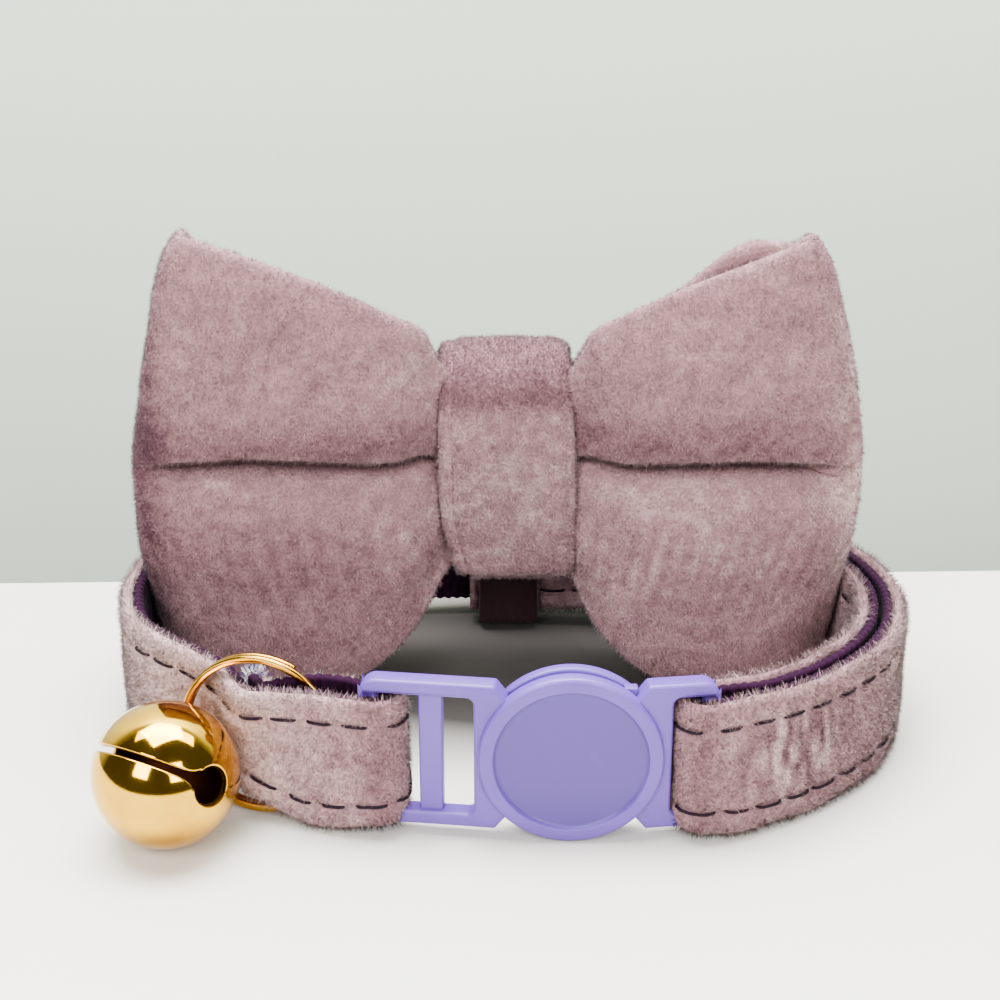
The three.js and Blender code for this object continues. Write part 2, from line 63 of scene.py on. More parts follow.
Array = np.ndarray
Triple = tuple[float, float, float]


# ------------------------------------------------------------------------------ places and numbers
@dataclass(frozen=True)
class Datum:
    """The buckle's own axes in the frame: where the middle of the front disc's foot line lies."""

    origin: Triple

    @classmethod
    def from_buckle(cls) -> "Datum":
        """Reads the axes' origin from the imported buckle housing.

        Returns:
            The datum whose y = 0 is the disc's front face.
        """
        low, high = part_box("buckle_housing")
        disc = Disc()
        right, top = disc.centre_x + disc.radius, disc.centre_z + disc.radius
        return cls((high[0] / MM - right, low[1] / MM, high[2] / MM - top))

    def metres(self, points: Array) -> Array:
        """Millimetres in the buckle's axes as metres in the frame."""
        return (np.asarray(points, float) + np.array(self.origin)) * MM


def smooth_table(keys: Array, values: Array, at: Array) -> Array:
    """A cubic curve through a table: each stretch is a Hermite cubic between central slopes.

    Args:
        keys: increasing places of the table's rows.
        values: the value in each row.
        at: places to read, held to the table's ends.

    Returns:
        The values at those places, in the shape of at.
    """
    keys, values = np.asarray(keys, float), np.asarray(values, float)
    at = np.clip(np.asarray(at, float), keys[0], keys[-1])
    before = np.maximum(np.arange(len(keys)) - 1, 0)
    after = np.minimum(np.arange(len(keys)) + 1, len(keys) - 1)
    slopes = (values[after] - values[before]) / (keys[after] - keys[before])
    i = np.clip(np.searchsorted(keys, at, side="right") - 1, 0, len(keys) - 2)
    span = keys[i + 1] - keys[i]
    t = (at - keys[i]) / span
    t2, t3 = t * t, t * t * t
    return (
        (2 * t3 - 3 * t2 + 1) * values[i]
        + (t3 - 2 * t2 + t) * slopes[i] * span
        + (3 * t2 - 2 * t3) * values[i + 1]
        + (t3 - t2) * slopes[i + 1] * span
    )


def column(rows: Array, number: int, at: Array) -> Array:
    """One column of a table as a smooth curve over its first column."""
    return smooth_table(rows[:, 0], rows[:, number], at)


def ease(at: Array, low: float, high: float) -> Array:
    """A smooth step: 0 below low, 1 above high, 3t² - 2t³ between."""
    t = np.clip((np.asarray(at, float) - low) / (high - low), 0.0, 1.0)
    return t * t * (3.0 - 2.0 * t)


def bump_at(at: Array, middle: float, width: float) -> Array:
    """A bell curve of height 1: e to the minus square of the distance over the width."""
    return np.exp(-(((np.asarray(at, float) - middle) / width) ** 2))


def table_of(*rows: tuple[float, ...]) -> Any:
    """A dataclass field that holds the rows as one array."""
    return field(default_factory=lambda: np.array(rows))


def unit(vectors: Array) -> Array:
    """Vectors at length 1, with zero vectors left as they are."""
    length = np.linalg.norm(vectors, axis=-1, keepdims=True)
    return vectors / np.maximum(length, 1e-12)


def lattice_noise(points: Array, size: float, seed: int = 0) -> Array:
    """Smooth noise from -1 to 1: random values on a cubic lattice, blended with eased weights.

    Args:
        points: places, (..., 3), in millimetres.
        size: distance between lattice points.
        seed: which noise.

    Returns:
        One value for each place.
    """
    grid = np.asarray(points, float) / size + 100.0 + 17.0 * seed
    cell = np.floor(grid).astype(np.int64)
    part = grid - cell
    part = part * part * (3.0 - 2.0 * part)
    total = np.zeros(grid.shape[:-1])
    for corner in np.ndindex(2, 2, 2):
        at = cell + np.array(corner)
        mixed = at[..., 0] * 374761393 + at[..., 1] * 668265263 + at[..., 2] * 2147483647
        mixed = (mixed ^ (mixed >> 13)) * 1274126177 & 0x7FFFFFFF
        value = ((mixed ^ (mixed >> 16)) & 0xFFFF) / 32767.5 - 1.0
        weight = np.prod(np.where(np.array(corner) == 1, part, 1.0 - part), axis=-1)
        total += value * weight
    return total


# ------------------------------------------------------------------------------ meshes
@dataclass
class Skin:
    """A mesh as arrays: points in millimetres, quads, triangles and a value per point by name."""

    points: Array
    quads: Array = field(default_factory=lambda: np.zeros((0, 4), int))
    triangles: Array = field(default_factory=lambda: np.zeros((0, 3), int))
    values: dict[str, Array] = field(default_factory=dict)

    @classmethod
    def grid(cls, points: Array, wrap_rows: bool = False, wrap_columns: bool = False) -> "Skin":
        """Quads between neighbours of a rows by columns by 3 array of points."""
        rows, columns = points.shape[:2]
        i = np.arange(rows if wrap_rows else rows - 1)[:, None]
        j = np.arange(columns if wrap_columns else columns - 1)[None, :]
        next_i, next_j = (i + 1) % rows, (j + 1) % columns
        corners = [i * columns + j, i * columns + next_j, next_i * columns + next_j, next_i * columns + j]
        quads = np.stack(np.broadcast_arrays(*corners), axis=-1).reshape(-1, 4)
        return cls(points.reshape(-1, 3), quads)

    @classmethod
    def joined(cls, skins: list["Skin"]) -> "Skin":
        """Several skins in one, with the values that all of them hold."""
        starts = np.cumsum([0] + [len(s.points) for s in skins[:-1]])
        names = set.intersection(*(set(s.values) for s in skins))
        return cls(
            np.concatenate([s.points for s in skins]),
            np.concatenate([s.quads + at for s, at in zip(skins, starts)]),
            np.concatenate([s.triangles + at for s, at in zip(skins, starts)]),
            {name: np.concatenate([s.values[name] for s in skins]) for name in names},
        )

    def capped(self, *loops: Array) -> "Skin":
        """Closes each loop of point numbers with a fan round a new point at its middle."""
        points, triangles = [self.points], [self.triangles]
        for at, loop in enumerate(loops):
            middle = np.full(len(loop), len(self.points) + at)
            points.append(self.points[loop].mean(axis=0, keepdims=True))
            triangles.append(np.stack([loop, np.roll(loop, -1), middle], axis=1))
        return replace(self, points=np.concatenate(points), triangles=np.concatenate(triangles))

    def all_triangles(self) -> Array:
        """Every face as triangles."""
        halves = [self.quads[:, [0, 1, 2]], self.quads[:, [0, 2, 3]], self.triangles]
        return np.concatenate(halves)

    def outward(self) -> "Skin":
        """The same closed skin with its faces turned so that its volume is positive."""
        a, b, c = (self.points[self.all_triangles()[:, k]] for k in range(3))
        if np.einsum("ij,ij->", a, np.cross(b, c)) >= 0:
            return self
        return replace(self, quads=self.quads[:, ::-1], triangles=self.triangles[:, ::-1])

    def normals(self) -> Array:
        """Unit normals at the points, weighted by the area of the faces round each."""
        corners = self.all_triangles()
        a, b, c = (self.points[corners[:, k]] for k in range(3))
        flat = np.cross(b - a, c - a)
        total = np.zeros_like(self.points)
        for k in range(3):
            np.add.at(total, corners[:, k], flat)
        return unit(total)

    def moved(self, shift: Callable[[Array], Array]) -> "Skin":
        """The skin with its points put through a function."""
        return replace(self, points=shift(self.points))


@dataclass
class Workshop:
    """Turns skins into objects, dresses them and ties them to the frame."""

    datum: Datum

    def make(self, name: str, skin: Skin, finish: "Finish", flat: bool = False) -> Any:
        """Makes one finished piece.

        Args:
            name: the object's name.
            skin: its mesh.
            finish: its material.
            flat: faces are shaded flat.

        Returns:
            The new object.
        """
        mesh = bpy.data.meshes.new(name)
        loops = np.concatenate([skin.quads.ravel(), skin.triangles.ravel()]).astype(np.int32)
        quads, triangles = len(skin.quads), len(skin.triangles)
        starts = np.concatenate([np.arange(quads) * 4, quads * 4 + np.arange(triangles) * 3])
        mesh.vertices.add(len(skin.points))
        mesh.vertices.foreach_set("co", self.datum.metres(skin.points).astype(np.float32).ravel())
        mesh.loops.add(len(loops))
        mesh.loops.foreach_set("vertex_index", loops)
        mesh.polygons.add(quads + triangles)
        mesh.polygons.foreach_set("loop_start", starts.astype(np.int32))
        mesh.polygons.foreach_set("use_smooth", np.full(quads + triangles, not flat))
        mesh.update(calc_edges=True)
        mesh.validate()
        for key, value in skin.values.items():
            kind = "FLOAT_VECTOR" if value.ndim == 2 else "FLOAT"
            layer = mesh.attributes.new(key, kind, "POINT")
            entry = "vector" if value.ndim == 2 else "value"
            layer.data.foreach_set(entry, value.astype(np.float32).ravel())
        mesh.materials.append(finish.material())
        made = bpy.data.objects.new(name, mesh)
        bpy.context.scene.collection.objects.link(made)
        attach(made, "root")
        LOG.info("%s: %d triangles", name, len(skin.all_triangles()))
        return made


def thick_band(face: Array, thick: float, wrap_columns: bool, rim: int = 3) -> Skin:
    """A sheet with rounded rims: the face, a half circle over its last row, the face moved back by the
    thickness along its normals, and a half circle under its first row.

    Args:
        face: rows by columns by 3 array of the outer face, first row at one edge.
        thick: the sheet's thickness.
        wrap_columns: the sheet closes on itself along its columns.
        rim: points on each rim between the two faces.

    Returns:
        The closed skin, with value "outer" 1 on the outer face and 0 on the inner.
    """
    normals = Skin.grid(face, wrap_columns=wrap_columns).normals().reshape(face.shape)
    back = face - normals * thick
    turn = (np.arange(rim) + 1) * math.pi / (rim + 1)

    def rim_rows(edge: Array, inner: Array, normal: Array) -> Array:
        out = unit(edge - inner)
        middle = edge - normal * thick / 2
        arms = np.cos(turn)[:, None, None] * normal + np.sin(turn)[:, None, None] * out
        return middle + arms * thick / 2

    top = rim_rows(face[-1], face[-2], normals[-1])
    bottom = rim_rows(face[0], face[1], normals[0])[::-1]
    rows = np.concatenate([face, top, back[::-1], bottom])
    skin = Skin.grid(rows, wrap_rows=True, wrap_columns=wrap_columns)
    outer = np.concatenate([np.ones(len(face)), np.full(rim, 0.9), np.zeros(len(back)), np.full(rim, 0.9)])
    skin.values["outer"] = np.repeat(outer, face.shape[1])
    if not wrap_columns:
        columns = face.shape[1]
        first = np.arange(len(rows)) * columns
        ends = skin.capped(first[::-1], first + columns - 1)
        ends.values["outer"] = np.concatenate([skin.values["outer"], [0.5, 0.5]])
        skin = ends
    return skin.outward()


def wire_along(path: Array, radius: Array | float, sides: int = 8) -> Skin:
    """A round wire with capped ends: a circle of the radius carried along the path, square to it.

    Args:
        path: the middle line, n by 3.
        radius: one radius or one for each point.
        sides: points round the wire.

    Returns:
        The closed skin.
    """
    tangent = unit(np.gradient(path, axis=0))
    side = unit(np.cross(tangent, np.array([0.13, 0.21, 1.0])))
    up = np.cross(side, tangent)
    turn = np.arange(sides) * TAU / sides
    arms = np.cos(turn)[None, :, None] * side[:, None] + np.sin(turn)[None, :, None] * up[:, None]
    radii = np.broadcast_to(np.asarray(radius, float), (len(path),))
    skin = Skin.grid(path[:, None] + arms * radii[:, None, None], wrap_columns=True)
    last = len(path) * sides
    return skin.capped(np.arange(sides)[::-1], np.arange(last - sides, last)).outward()


def lathe(profile: Array, centre: tuple[float, float], steps: int = 128) -> Skin:
    """A turned piece about a line along y: rows of (radius, y) carried round the centre (x, z)."""
    turn = np.arange(steps) * TAU / steps
    radius, depth = profile[:, 0][:, None], profile[:, 1][:, None]
    x = centre[0] + radius * np.cos(turn)
    z = centre[1] + radius * np.sin(turn)
    skin = Skin.grid(np.stack([x, depth + 0 * x, z], axis=-1), wrap_columns=True)
    last = len(profile) * steps
    return skin.capped(np.arange(steps)[::-1], np.arange(last - steps, last)).outward()


def rounded_outline(corners: list[Triple], steps: int = 7) -> Array:
    """A closed outline with rounded corners: each corner (x, z, radius) becomes an arc that touches
    both sides."""
    places = np.array([[x, z] for x, z, _ in corners])
    radii = np.array([r for _, _, r in corners])
    back = unit(np.roll(places, 1, axis=0) - places)
    ahead = unit(np.roll(places, -1, axis=0) - places)
    half = 0.5 * np.arccos(np.clip((back * ahead).sum(axis=1), -1.0, 1.0))
    reach = radii / np.tan(half)
    t = np.linspace(0.0, 1.0, steps)[None, :, None]
    start = (places + back * reach[:, None])[:, None]
    end = (places + ahead * reach[:, None])[:, None]
    middle = (places + unit(back + ahead) * (radii / np.sin(half))[:, None])[:, None]
    arm = (1 - t) * (start - middle) + t * (end - middle)
    return (middle + unit(arm) * radii[:, None, None]).reshape(-1, 2)


def rounded_plate(outline: Array, front: float, thick: float, edge: float) -> Skin:
    """A plate with rounded edges: its outline at the front face, carried round a quarter circle of the
    edge radius to the wall and round another to the rear face.

    Args:
        outline: (x, z) points round the plate.
        front: y of the front face.
        thick: its thickness in y.
        edge: radius of the edges.

    Returns:
        The closed skin.
    """
    turn = np.linspace(0.0, math.pi / 2, 5)
    inset = np.concatenate([edge * (1 - np.sin(turn)), edge * (1 - np.cos(turn))])
    depth = np.concatenate([edge * (1 - np.cos(turn)), thick - edge * (1 - np.sin(turn))])
    ahead = unit(np.roll(outline, -1, axis=0) - outline)
    behind = unit(outline - np.roll(outline, 1, axis=0))
    after = np.roll(outline, -1, axis=0)
    sense = np.sign(np.sum(outline[:, 0] * after[:, 1] - outline[:, 1] * after[:, 0]))
    along = unit(ahead + behind)
    inward = np.stack([-along[:, 1], along[:, 0]], axis=1) * sense
    stretch = 1.0 / np.maximum((along * ahead).sum(axis=1), 0.5)
    flat = outline[None] + inward[None] * (inset[:, None] * stretch[None])[..., None]
    y = np.broadcast_to((front + depth)[:, None, None], (*flat.shape[:2], 1))
    whole = Skin.grid(np.concatenate([flat[..., :1], y, flat[..., 1:]], axis=-1), wrap_columns=True)
    whole.quads = whole.quads if sense > 0 else whole.quads[:, ::-1]
    ring = np.arange(len(outline))
    rear = len(whole.points) - len(outline) + ring
    faces = np.array(tessellate_polygon([[Vector((x, z, 0.0)) for x, _, z in whole.points[ring]]]), int)
    a, b, c = (whole.points[faces[:, k]][:, [0, 2]] for k in range(3))
    turn_way = (b - a)[:, 0] * (c - a)[:, 1] - (b - a)[:, 1] * (c - a)[:, 0]
    faces = np.where((turn_way > 0)[:, None], faces, faces[:, ::-1])
    near, far = faces, rear[faces][:, ::-1]
    side = 1 if _faces_out(whole, near) else -1
    whole.quads = whole.quads[:, ::side]
    whole.triangles = np.concatenate([near, far])
    return whole.outward()


def _faces_out(whole: Skin, near: Array) -> bool:
    """Whether the walls' first quad and the front cap agree on which way is out."""
    edges = {(a, b) for tri in near.tolist() for a, b in zip(tri, tri[1:] + tri[:1])}
    first = whole.quads[0].tolist()
    pairs = list(zip(first, first[1:] + first[:1]))
    return not any(pair in edges for pair in pairs)


# ------------------------------------------------------------------------------ shader maths
class Wire:
    """A number on its way through a shader. Arithmetic on it adds Math nodes."""

    def __init__(self, craft: "Craft", socket: Any) -> None:
        """Wraps an output socket of the craft's node tree."""
        self.craft = craft
        self.socket = socket

    def _with(self, operation: str, first: Any, second: Any) -> "Wire":
        """The result of one Math node."""
        made = self.craft.node("ShaderNodeMath", {"operation": operation}, {0: first, 1: second})
        return Wire(self.craft, made.outputs[0])

    def __add__(self, other: Any) -> "Wire":
        """self + other."""
        return self._with("ADD", self, other)

    def __radd__(self, other: Any) -> "Wire":
        """other + self."""
        return self._with("ADD", other, self)

    def __sub__(self, other: Any) -> "Wire":
        """self - other."""
        return self._with("SUBTRACT", self, other)

    def __rsub__(self, other: Any) -> "Wire":
        """other - self."""
        return self._with("SUBTRACT", other, self)

    def __mul__(self, other: Any) -> "Wire":
        """self * other."""
        return self._with("MULTIPLY", self, other)

    def __truediv__(self, other: Any) -> "Wire":
        """self / other."""
        return self._with("DIVIDE", self, other)


Input = Wire | Any


class Craft:
    """One material's node tree, with its Principled shader and the nodes that feed it."""

    def __init__(self, name: str) -> None:
        """Starts an empty material with a Principled shader and its output."""
        self.material = bpy.data.materials.new(name)
        self.material.use_nodes = True
        self.tree = self.material.node_tree
        self.tree.nodes.clear()
        self.surface = self.node("ShaderNodeBsdfPrincipled", {}, {})
        out = self.node("ShaderNodeOutputMaterial", {}, {})
        self.tree.links.new(self.surface.outputs[0], out.inputs[0])

    def node(self, kind: str, settings: dict[str, Any], inputs: dict[Any, Input]) -> Any:
        """Adds a node: its settings first, then its sockets.

        Args:
            kind: the node's type.
            settings: attributes to set, or "stops" for a ramp as (place, colour) pairs.
            inputs: a value, socket or Wire for each input socket, by name or number.

        Returns:
            The new node.
        """
        made = self.tree.nodes.new(kind)
        for key, value in settings.items():
            if key == "stops":
                ramp = made.color_ramp
                while len(ramp.elements) < len(value):
                    ramp.elements.new(1.0)
                for element, (place, colour) in zip(ramp.elements, value):
                    element.position = place
                    element.color = (*colour, 1.0)
            else:
                setattr(made, key, value)
        for key, value in inputs.items():
            self.feed(made.inputs[key], value)
        return made

    def feed(self, socket: Any, value: Input) -> None:
        """Links a Wire or an output socket, or sets a plain value."""
        if isinstance(value, Wire):
            self.tree.links.new(value.socket, socket)
        elif isinstance(value, bpy.types.NodeSocket):
            self.tree.links.new(value, socket)
        else:
            socket.default_value = value

    def dress(self, **inputs: Input) -> None:
        """Feeds the Principled shader's sockets, with _ for a space in their names."""
        for key, value in inputs.items():
            self.feed(self.surface.inputs[key.replace("_", " ")], value)

    def place(self) -> Any:
        """The Object coordinates, in metres."""
        return self.node("ShaderNodeTexCoord", {}, {}).outputs["Object"]

    def noise(self, size_mm: float, detail: float = 2.0, stretch: tuple[float, ...] = (1, 1, 1)) -> Wire:
        """Noise whose grains are about size_mm wide, stretched along the axes."""
        scale = tuple(1.0 / s for s in stretch)
        mapped = self.node("ShaderNodeMapping", {}, {"Vector": self.place(), "Scale": scale})
        sockets = {"Vector": mapped.outputs[0], "Scale": 1.0 / (size_mm * MM), "Detail": detail}
        made = self.node("ShaderNodeTexNoise", {}, sockets)
        return Wire(self, made.outputs[0])

    def attribute(self, name: str, output: str = "Fac") -> Any:
        """A value carried by the mesh's points."""
        return self.node("ShaderNodeAttribute", {"attribute_name": name}, {}).outputs[output]

    def ramp(self, value: Input, *stops: tuple[float, Triple]) -> Any:
        """A colour that follows a value through the stops."""
        made = self.node("ShaderNodeValToRGB", {"stops": stops}, {0: value})
        return made.outputs[0]

    def bump(self, height: Input, distance_mm: float, strength: float = 1.0) -> Any:
        """A normal bent by a height that stands distance_mm tall."""
        sockets = {"Height": height, "Distance": distance_mm * MM, "Strength": strength}
        return self.node("ShaderNodeBump", {}, sockets).outputs[0]


def srgb(red: int, green: int, blue: int) -> Triple:
    """A colour from screen values 0 to 255, as linear light."""
    return tuple(
        (c / 255 / 12.92) if c <= 10 else (((c / 255) + 0.055) / 1.055) ** 2.4 for c in (red, green, blue)
    )


# ------------------------------------------------------------------------------ finishes
class Finish:
    """Something a piece is made of. material() builds it once."""

    name: str

    def material(self) -> Any:
        """The finish's Blender material, made at its first use."""
        return bpy.data.materials.get(self.name) or self.build(Craft(self.name))

    def build(self, craft: Craft) -> Any:
        """Adds the finish's nodes and returns the material."""
        raise NotImplementedError


class VelvetLayer(Enum):
    """Which part of the velvet a finish colours."""

    GROUND = "ground"
    PILE = "pile"


@dataclass(frozen=True)
class Velvet(Finish):
    """Mauve pile velvet. The points' "tone" runs from dark, 0, to light, 1: brushed nap together with painted
    light and shade.
    """

    name: str
    layer: VelvetLayer
    deep: Triple = srgb(64, 36, 46)
    middle: Triple = srgb(138, 103, 107)
    bright: Triple = srgb(214, 186, 180)
    sheen: float = 0.16

    def build(self, craft: Craft) -> Any:
        """Tone through three colours; the ground is darker, and each fibre runs from painted shade at its
        root to painted light at its tip.
        """
        tone = Wire(craft, craft.attribute("tone"))
        if self.layer is VelvetLayer.GROUND:
            grain = craft.noise(0.28, 3.0)
            value = tone * 0.92 + (grain - 0.5) * 0.45 - 0.05
            craft.dress(Normal=craft.bump(grain, 0.18, 0.8))
        else:
            tip = Wire(craft, craft.attribute("tip"))
            # Painted shade at the fibre's root and painted light at its tip.
            value = tone + (tip - 0.45) * 0.32
            craft.dress(Normal=craft.attribute("ground", "Vector"))
        stops = ((0.0, self.deep), (0.5, self.middle), (1.0, self.bright))
        craft.dress(Base_Color=craft.ramp(value, *stops), Roughness=0.95)
        craft.dress(Sheen_Weight=self.sheen, Sheen_Roughness=0.45, Specular_IOR_Level=0.1)
        craft.surface.inputs["Sheen Tint"].default_value = (1.0, 0.88, 0.9, 1.0)
        return craft.material


@dataclass(frozen=True)
class Woven(Finish):
    """Plum nylon webbing: dyed yarn, darker in the gaps of the weave."""

    name: str
    deep: Triple = srgb(10, 0, 12)
    bright: Triple = srgb(44, 3, 40)

    def build(self, craft: Craft) -> Any:
        """Yarn height through two colours, with fine fibre noise."""
        height = Wire(craft, craft.attribute("yarn"))
        fibre = craft.noise(0.12, 2.0)
        value = height * 0.85 + (fibre - 0.5) * 0.35
        craft.dress(Base_Color=craft.ramp(value, (0.0, self.deep), (1.0, self.bright)), Roughness=0.75)
        craft.dress(Normal=craft.bump(fibre, 0.05, 0.5))
        craft.dress(Sheen_Weight=0.03, Sheen_Roughness=0.4, Specular_IOR_Level=0.08)
        return craft.material


@dataclass(frozen=True)
class Moulded(Finish):
    """Lavender moulded plastic with a faint flow pattern and a soft gloss."""

    name: str
    colour: Triple = srgb(90, 62, 152)
    shade: Triple = srgb(82, 55, 144)
    low: Triple = srgb(66, 42, 122)

    def build(self, craft: Craft) -> Any:
        """Close lavenders through slow noise, with painted shade on the disc's recess floor where "sunk" is
        1, over a fine matte texture.
        """
        flow = craft.noise(4.0, 2.0)
        grain = craft.noise(0.16, 2.0)
        sunk = Wire(craft, craft.attribute("sunk"))
        flat = craft.ramp(flow - sunk * 0.6, (0.05, self.low), (0.3, self.shade), (0.7, self.colour))
        craft.dress(Base_Color=flat)
        craft.dress(Roughness=0.34 + grain * 0.12, Normal=craft.bump(grain, 0.012, 0.35))
        craft.dress(Specular_IOR_Level=0.45)
        return craft.material


@dataclass(frozen=True)
class Gilt(Finish):
    """Bright gold-coloured plate over brass."""

    name: str
    colour: Triple = srgb(222, 172, 38)
    worn: Triple = srgb(206, 150, 26)
    rough: float = 0.05
    raw: Triple = srgb(70, 34, 14)

    def build(self, craft: Craft) -> Any:
        """Two golds through slow noise, faint polishing marks, and raw dull metal where "inside" is 1."""
        cloud = craft.noise(3.0, 3.0)
        marks = craft.noise(0.25, 3.0)
        inside = Wire(craft, craft.attribute("inside"))
        outside = craft.ramp(cloud, (0.35, self.worn), (0.65, self.colour))
        raw = craft.node("ShaderNodeMix", {"data_type": "RGBA"}, {0: inside, 6: outside, 7: (*self.raw, 1.0)})
        craft.dress(Base_Color=raw.outputs[2])
        craft.dress(Roughness=self.rough + marks * 0.06 + inside * 0.4, Normal=craft.bump(marks, 0.004, 0.3))
        craft.dress(Metallic=1.0)
        return craft.material


@dataclass(frozen=True)
class Thread(Finish):
    """Twisted sewing thread or loose yarn in one colour."""

    name: str
    colour: Triple = srgb(24, 6, 24)

    def build(self, craft: Craft) -> Any:
        """One colour, lighter and darker along the fibres."""
        fibre = craft.noise(0.1, 2.0)
        dark = tuple(c * 0.55 for c in self.colour)
        craft.dress(Base_Color=craft.ramp(fibre, (0.3, dark), (0.7, self.colour)), Roughness=0.7)
        craft.dress(Sheen_Weight=0.03, Specular_IOR_Level=0.12)
        return craft.material


@dataclass(frozen=True)
class Tabletop(Finish):
    """Matte pale board, in deep shade where the collar closes round it."""

    name: str
    colour: Triple
    shade: Triple
    middle: Triple
    reach: Triple
    far: Triple = srgb(200, 197, 189)
    front: float = 0.09  # metres from the middle to the near end of the slow change
    shade_edge: float = 2.1

    def build(self, craft: Craft) -> Any:
        """The board dims slowly from front to back, and turns to shade towards the middle by the
        distance from it in units of the reach."""
        from_middle = {"operation": "SUBTRACT"}, {0: craft.place(), 1: self.middle}
        away = craft.node("ShaderNodeVectorMath", *from_middle).outputs[0]
        in_reach = craft.node("ShaderNodeVectorMath", {"operation": "DIVIDE"}, {0: away, 1: self.reach})
        far = craft.node("ShaderNodeVectorMath", {"operation": "LENGTH"}, {0: in_reach.outputs[0]})
        value = Wire(craft, far.outputs["Value"])
        split = craft.node("ShaderNodeSeparateXYZ", {}, {0: away})
        depth = (Wire(craft, split.outputs[1]) + self.front) / self.front
        open_board = craft.ramp(depth, (0.0, self.colour), (1.0, self.far))
        inputs = {0: (1.0 - value) * self.shade_edge, 6: open_board, 7: (*self.shade, 1.0)}
        tinted = craft.node("ShaderNodeMix", {"data_type": "RGBA"}, inputs)
        craft.dress(Base_Color=tinted.outputs[2])
        craft.dress(**MATTE)
        return craft.material


@dataclass(frozen=True)
class Backdrop(Finish):
    """Matte studio paper or painted board that changes colour slowly in height."""

    name: str
    low: Triple
    high: Triple
    from_mm: float = -400.0
    to_mm: float = 400.0

    def build(self, craft: Craft) -> Any:
        """Two colours by height, softly mottled."""
        split = craft.node("ShaderNodeSeparateXYZ", {}, {0: craft.place()})
        height = Wire(craft, split.outputs[2])
        span = (self.to_mm - self.from_mm) * MM
        value = (height - self.from_mm * MM) / span
        cloud = craft.noise(60.0, 1.0)
        craft.dress(Base_Color=craft.ramp(value + (cloud - 0.5) * 0.02, (0.0, self.low), (1.0, self.high)))
        craft.dress(**MATTE)
        return craft.material


STRAP_GROUND = Velvet("strap velvet ground", VelvetLayer.GROUND)
STRAP_PILE = Velvet("strap velvet pile", VelvetLayer.PILE)
BOW_GROUND = Velvet("bow velvet ground", VelvetLayer.GROUND)
BOW_PILE = Velvet("bow velvet pile", VelvetLayer.PILE)
WEBBING = Woven("plum webbing")
BUCKLE_PLASTIC = Moulded("lavender plastic")
BELL_GILT = Gilt("bell gilt")
RING_GILT = Gilt("ring gilt", srgb(220, 170, 62), srgb(200, 144, 44), 0.1)
STITCHING = Thread("plum thread")
KNOT_THREAD = Thread("mauve thread", srgb(130, 92, 108))
FLUFF = Thread("white lining fluff", srgb(226, 218, 222))
LOOSE_YARN = Thread("loose violet yarn", srgb(72, 52, 128))
# The elastic's colour is painted shade: darkened to match the velvet in shade under the knot.
ELASTIC_PAINTED_SHADE = Thread("elastic in painted shade", srgb(46, 25, 31))
TABLE_COLOUR = srgb(221, 218, 210)
WALL_PAPER = Backdrop("grey green wall", srgb(194, 204, 189), srgb(201, 210, 196), -60.0, 160.0)


# ------------------------------------------------------------------------------ velvet pile
@dataclass(frozen=True)
class Pile:
    """Standing velvet fibres, each one thin triangle on the ground cloth."""

    count: int
    length: float = 0.5
    width: float = 0.055
    lean: Triple = (0.0, -0.25, -0.45)
    scatter: float = 0.42
    mottle: float = 0.19
    seed: int = 1
    drift: float = 0.3
    tuft: float = 0.55
    least_rise: float = 0.25
    rooted: float = 0.05

    def grow(self, ground: Skin) -> Skin:
        """Spreads fibres over the ground by area times its "pile" value.

        A fibre starts just under a random point of a face. It stands along the normal plus the lean,
        two noises and a random vector, but never flatter than least_rise, and narrows to a point. Its
        length grows with "shag" where the ground holds that value.

        Args:
            ground: the cloth, with values "pile" and "tone".

        Returns:
            The fibres, with values "tone", "tip" and "ground".
        """
        rng = np.random.default_rng(self.seed)
        corners = ground.all_triangles()
        points, normals = ground.points, ground.normals()
        a, b, c = (points[corners[:, k]] for k in range(3))
        weight = np.linalg.norm(np.cross(b - a, c - a), axis=1)
        weight = weight * ground.values["pile"][corners].mean(axis=1)
        face = rng.choice(len(corners), size=self.count, p=weight / weight.sum())
        share = rng.random((self.count, 2))
        over = share.sum(axis=1) > 1
        share[over] = 1 - share[over]
        parts = np.stack([1 - share.sum(axis=1), share[:, 0], share[:, 1]], axis=1)
        at = corners[face]

        def spread(values: Array) -> Array:
            return np.einsum("nk,nk...->n...", parts, values[at])

        root, normal = spread(points), unit(spread(normals))
        drift = np.stack([lattice_noise(root, 3.5, 5 + k) for k in range(3)], axis=1)
        tuft = np.stack([lattice_noise(root, 0.62, 9 + k) for k in range(3)], axis=1)
        stand = normal + np.array(self.lean) + drift * self.drift + tuft * self.tuft
        stand = unit(stand + rng.normal(0.0, self.scatter, (self.count, 3)))
        below = (stand * normal).sum(axis=1, keepdims=True)
        stand = unit(stand + normal * np.maximum(self.least_rise - below, 0.0))
        reach = self.length * rng.uniform(0.55, 1.15, self.count)
        if "shag" in ground.values:
            reach = reach * (1 + spread(ground.values["shag"]))
        side = unit(np.cross(stand, rng.normal(size=(self.count, 3)))) * self.width / 2
        start = root - normal * self.rooted
        fibres = np.stack([start - side, start + side, start + stand * reach[:, None]], axis=1)
        shade = spread(ground.values["tone"]) + rng.normal(0.0, self.mottle, self.count)
        return Skin(
            fibres.reshape(-1, 3),
            triangles=np.arange(self.count * 3).reshape(-1, 3),
            values={
                "tone": np.repeat(shade, 3),
                "tip": np.tile([0.0, 0.0, 1.0], self.count),
                "ground": np.repeat(unit(normal + stand * 0.35), 3, axis=0),
            },
        )


def nap(points: Array, seed: int, broad: float = 0.1, fine: float = 0.1) -> Array:
    """How the pile lies over the cloth: broad and fine patches round a middle tone of 0.5."""
    wide = lattice_noise(points, 9.0, seed) * broad + lattice_noise(points, 3.1, seed + 1) * broad * 0.6
    return 0.5 + wide + lattice_noise(points, 0.9, seed + 2) * fine


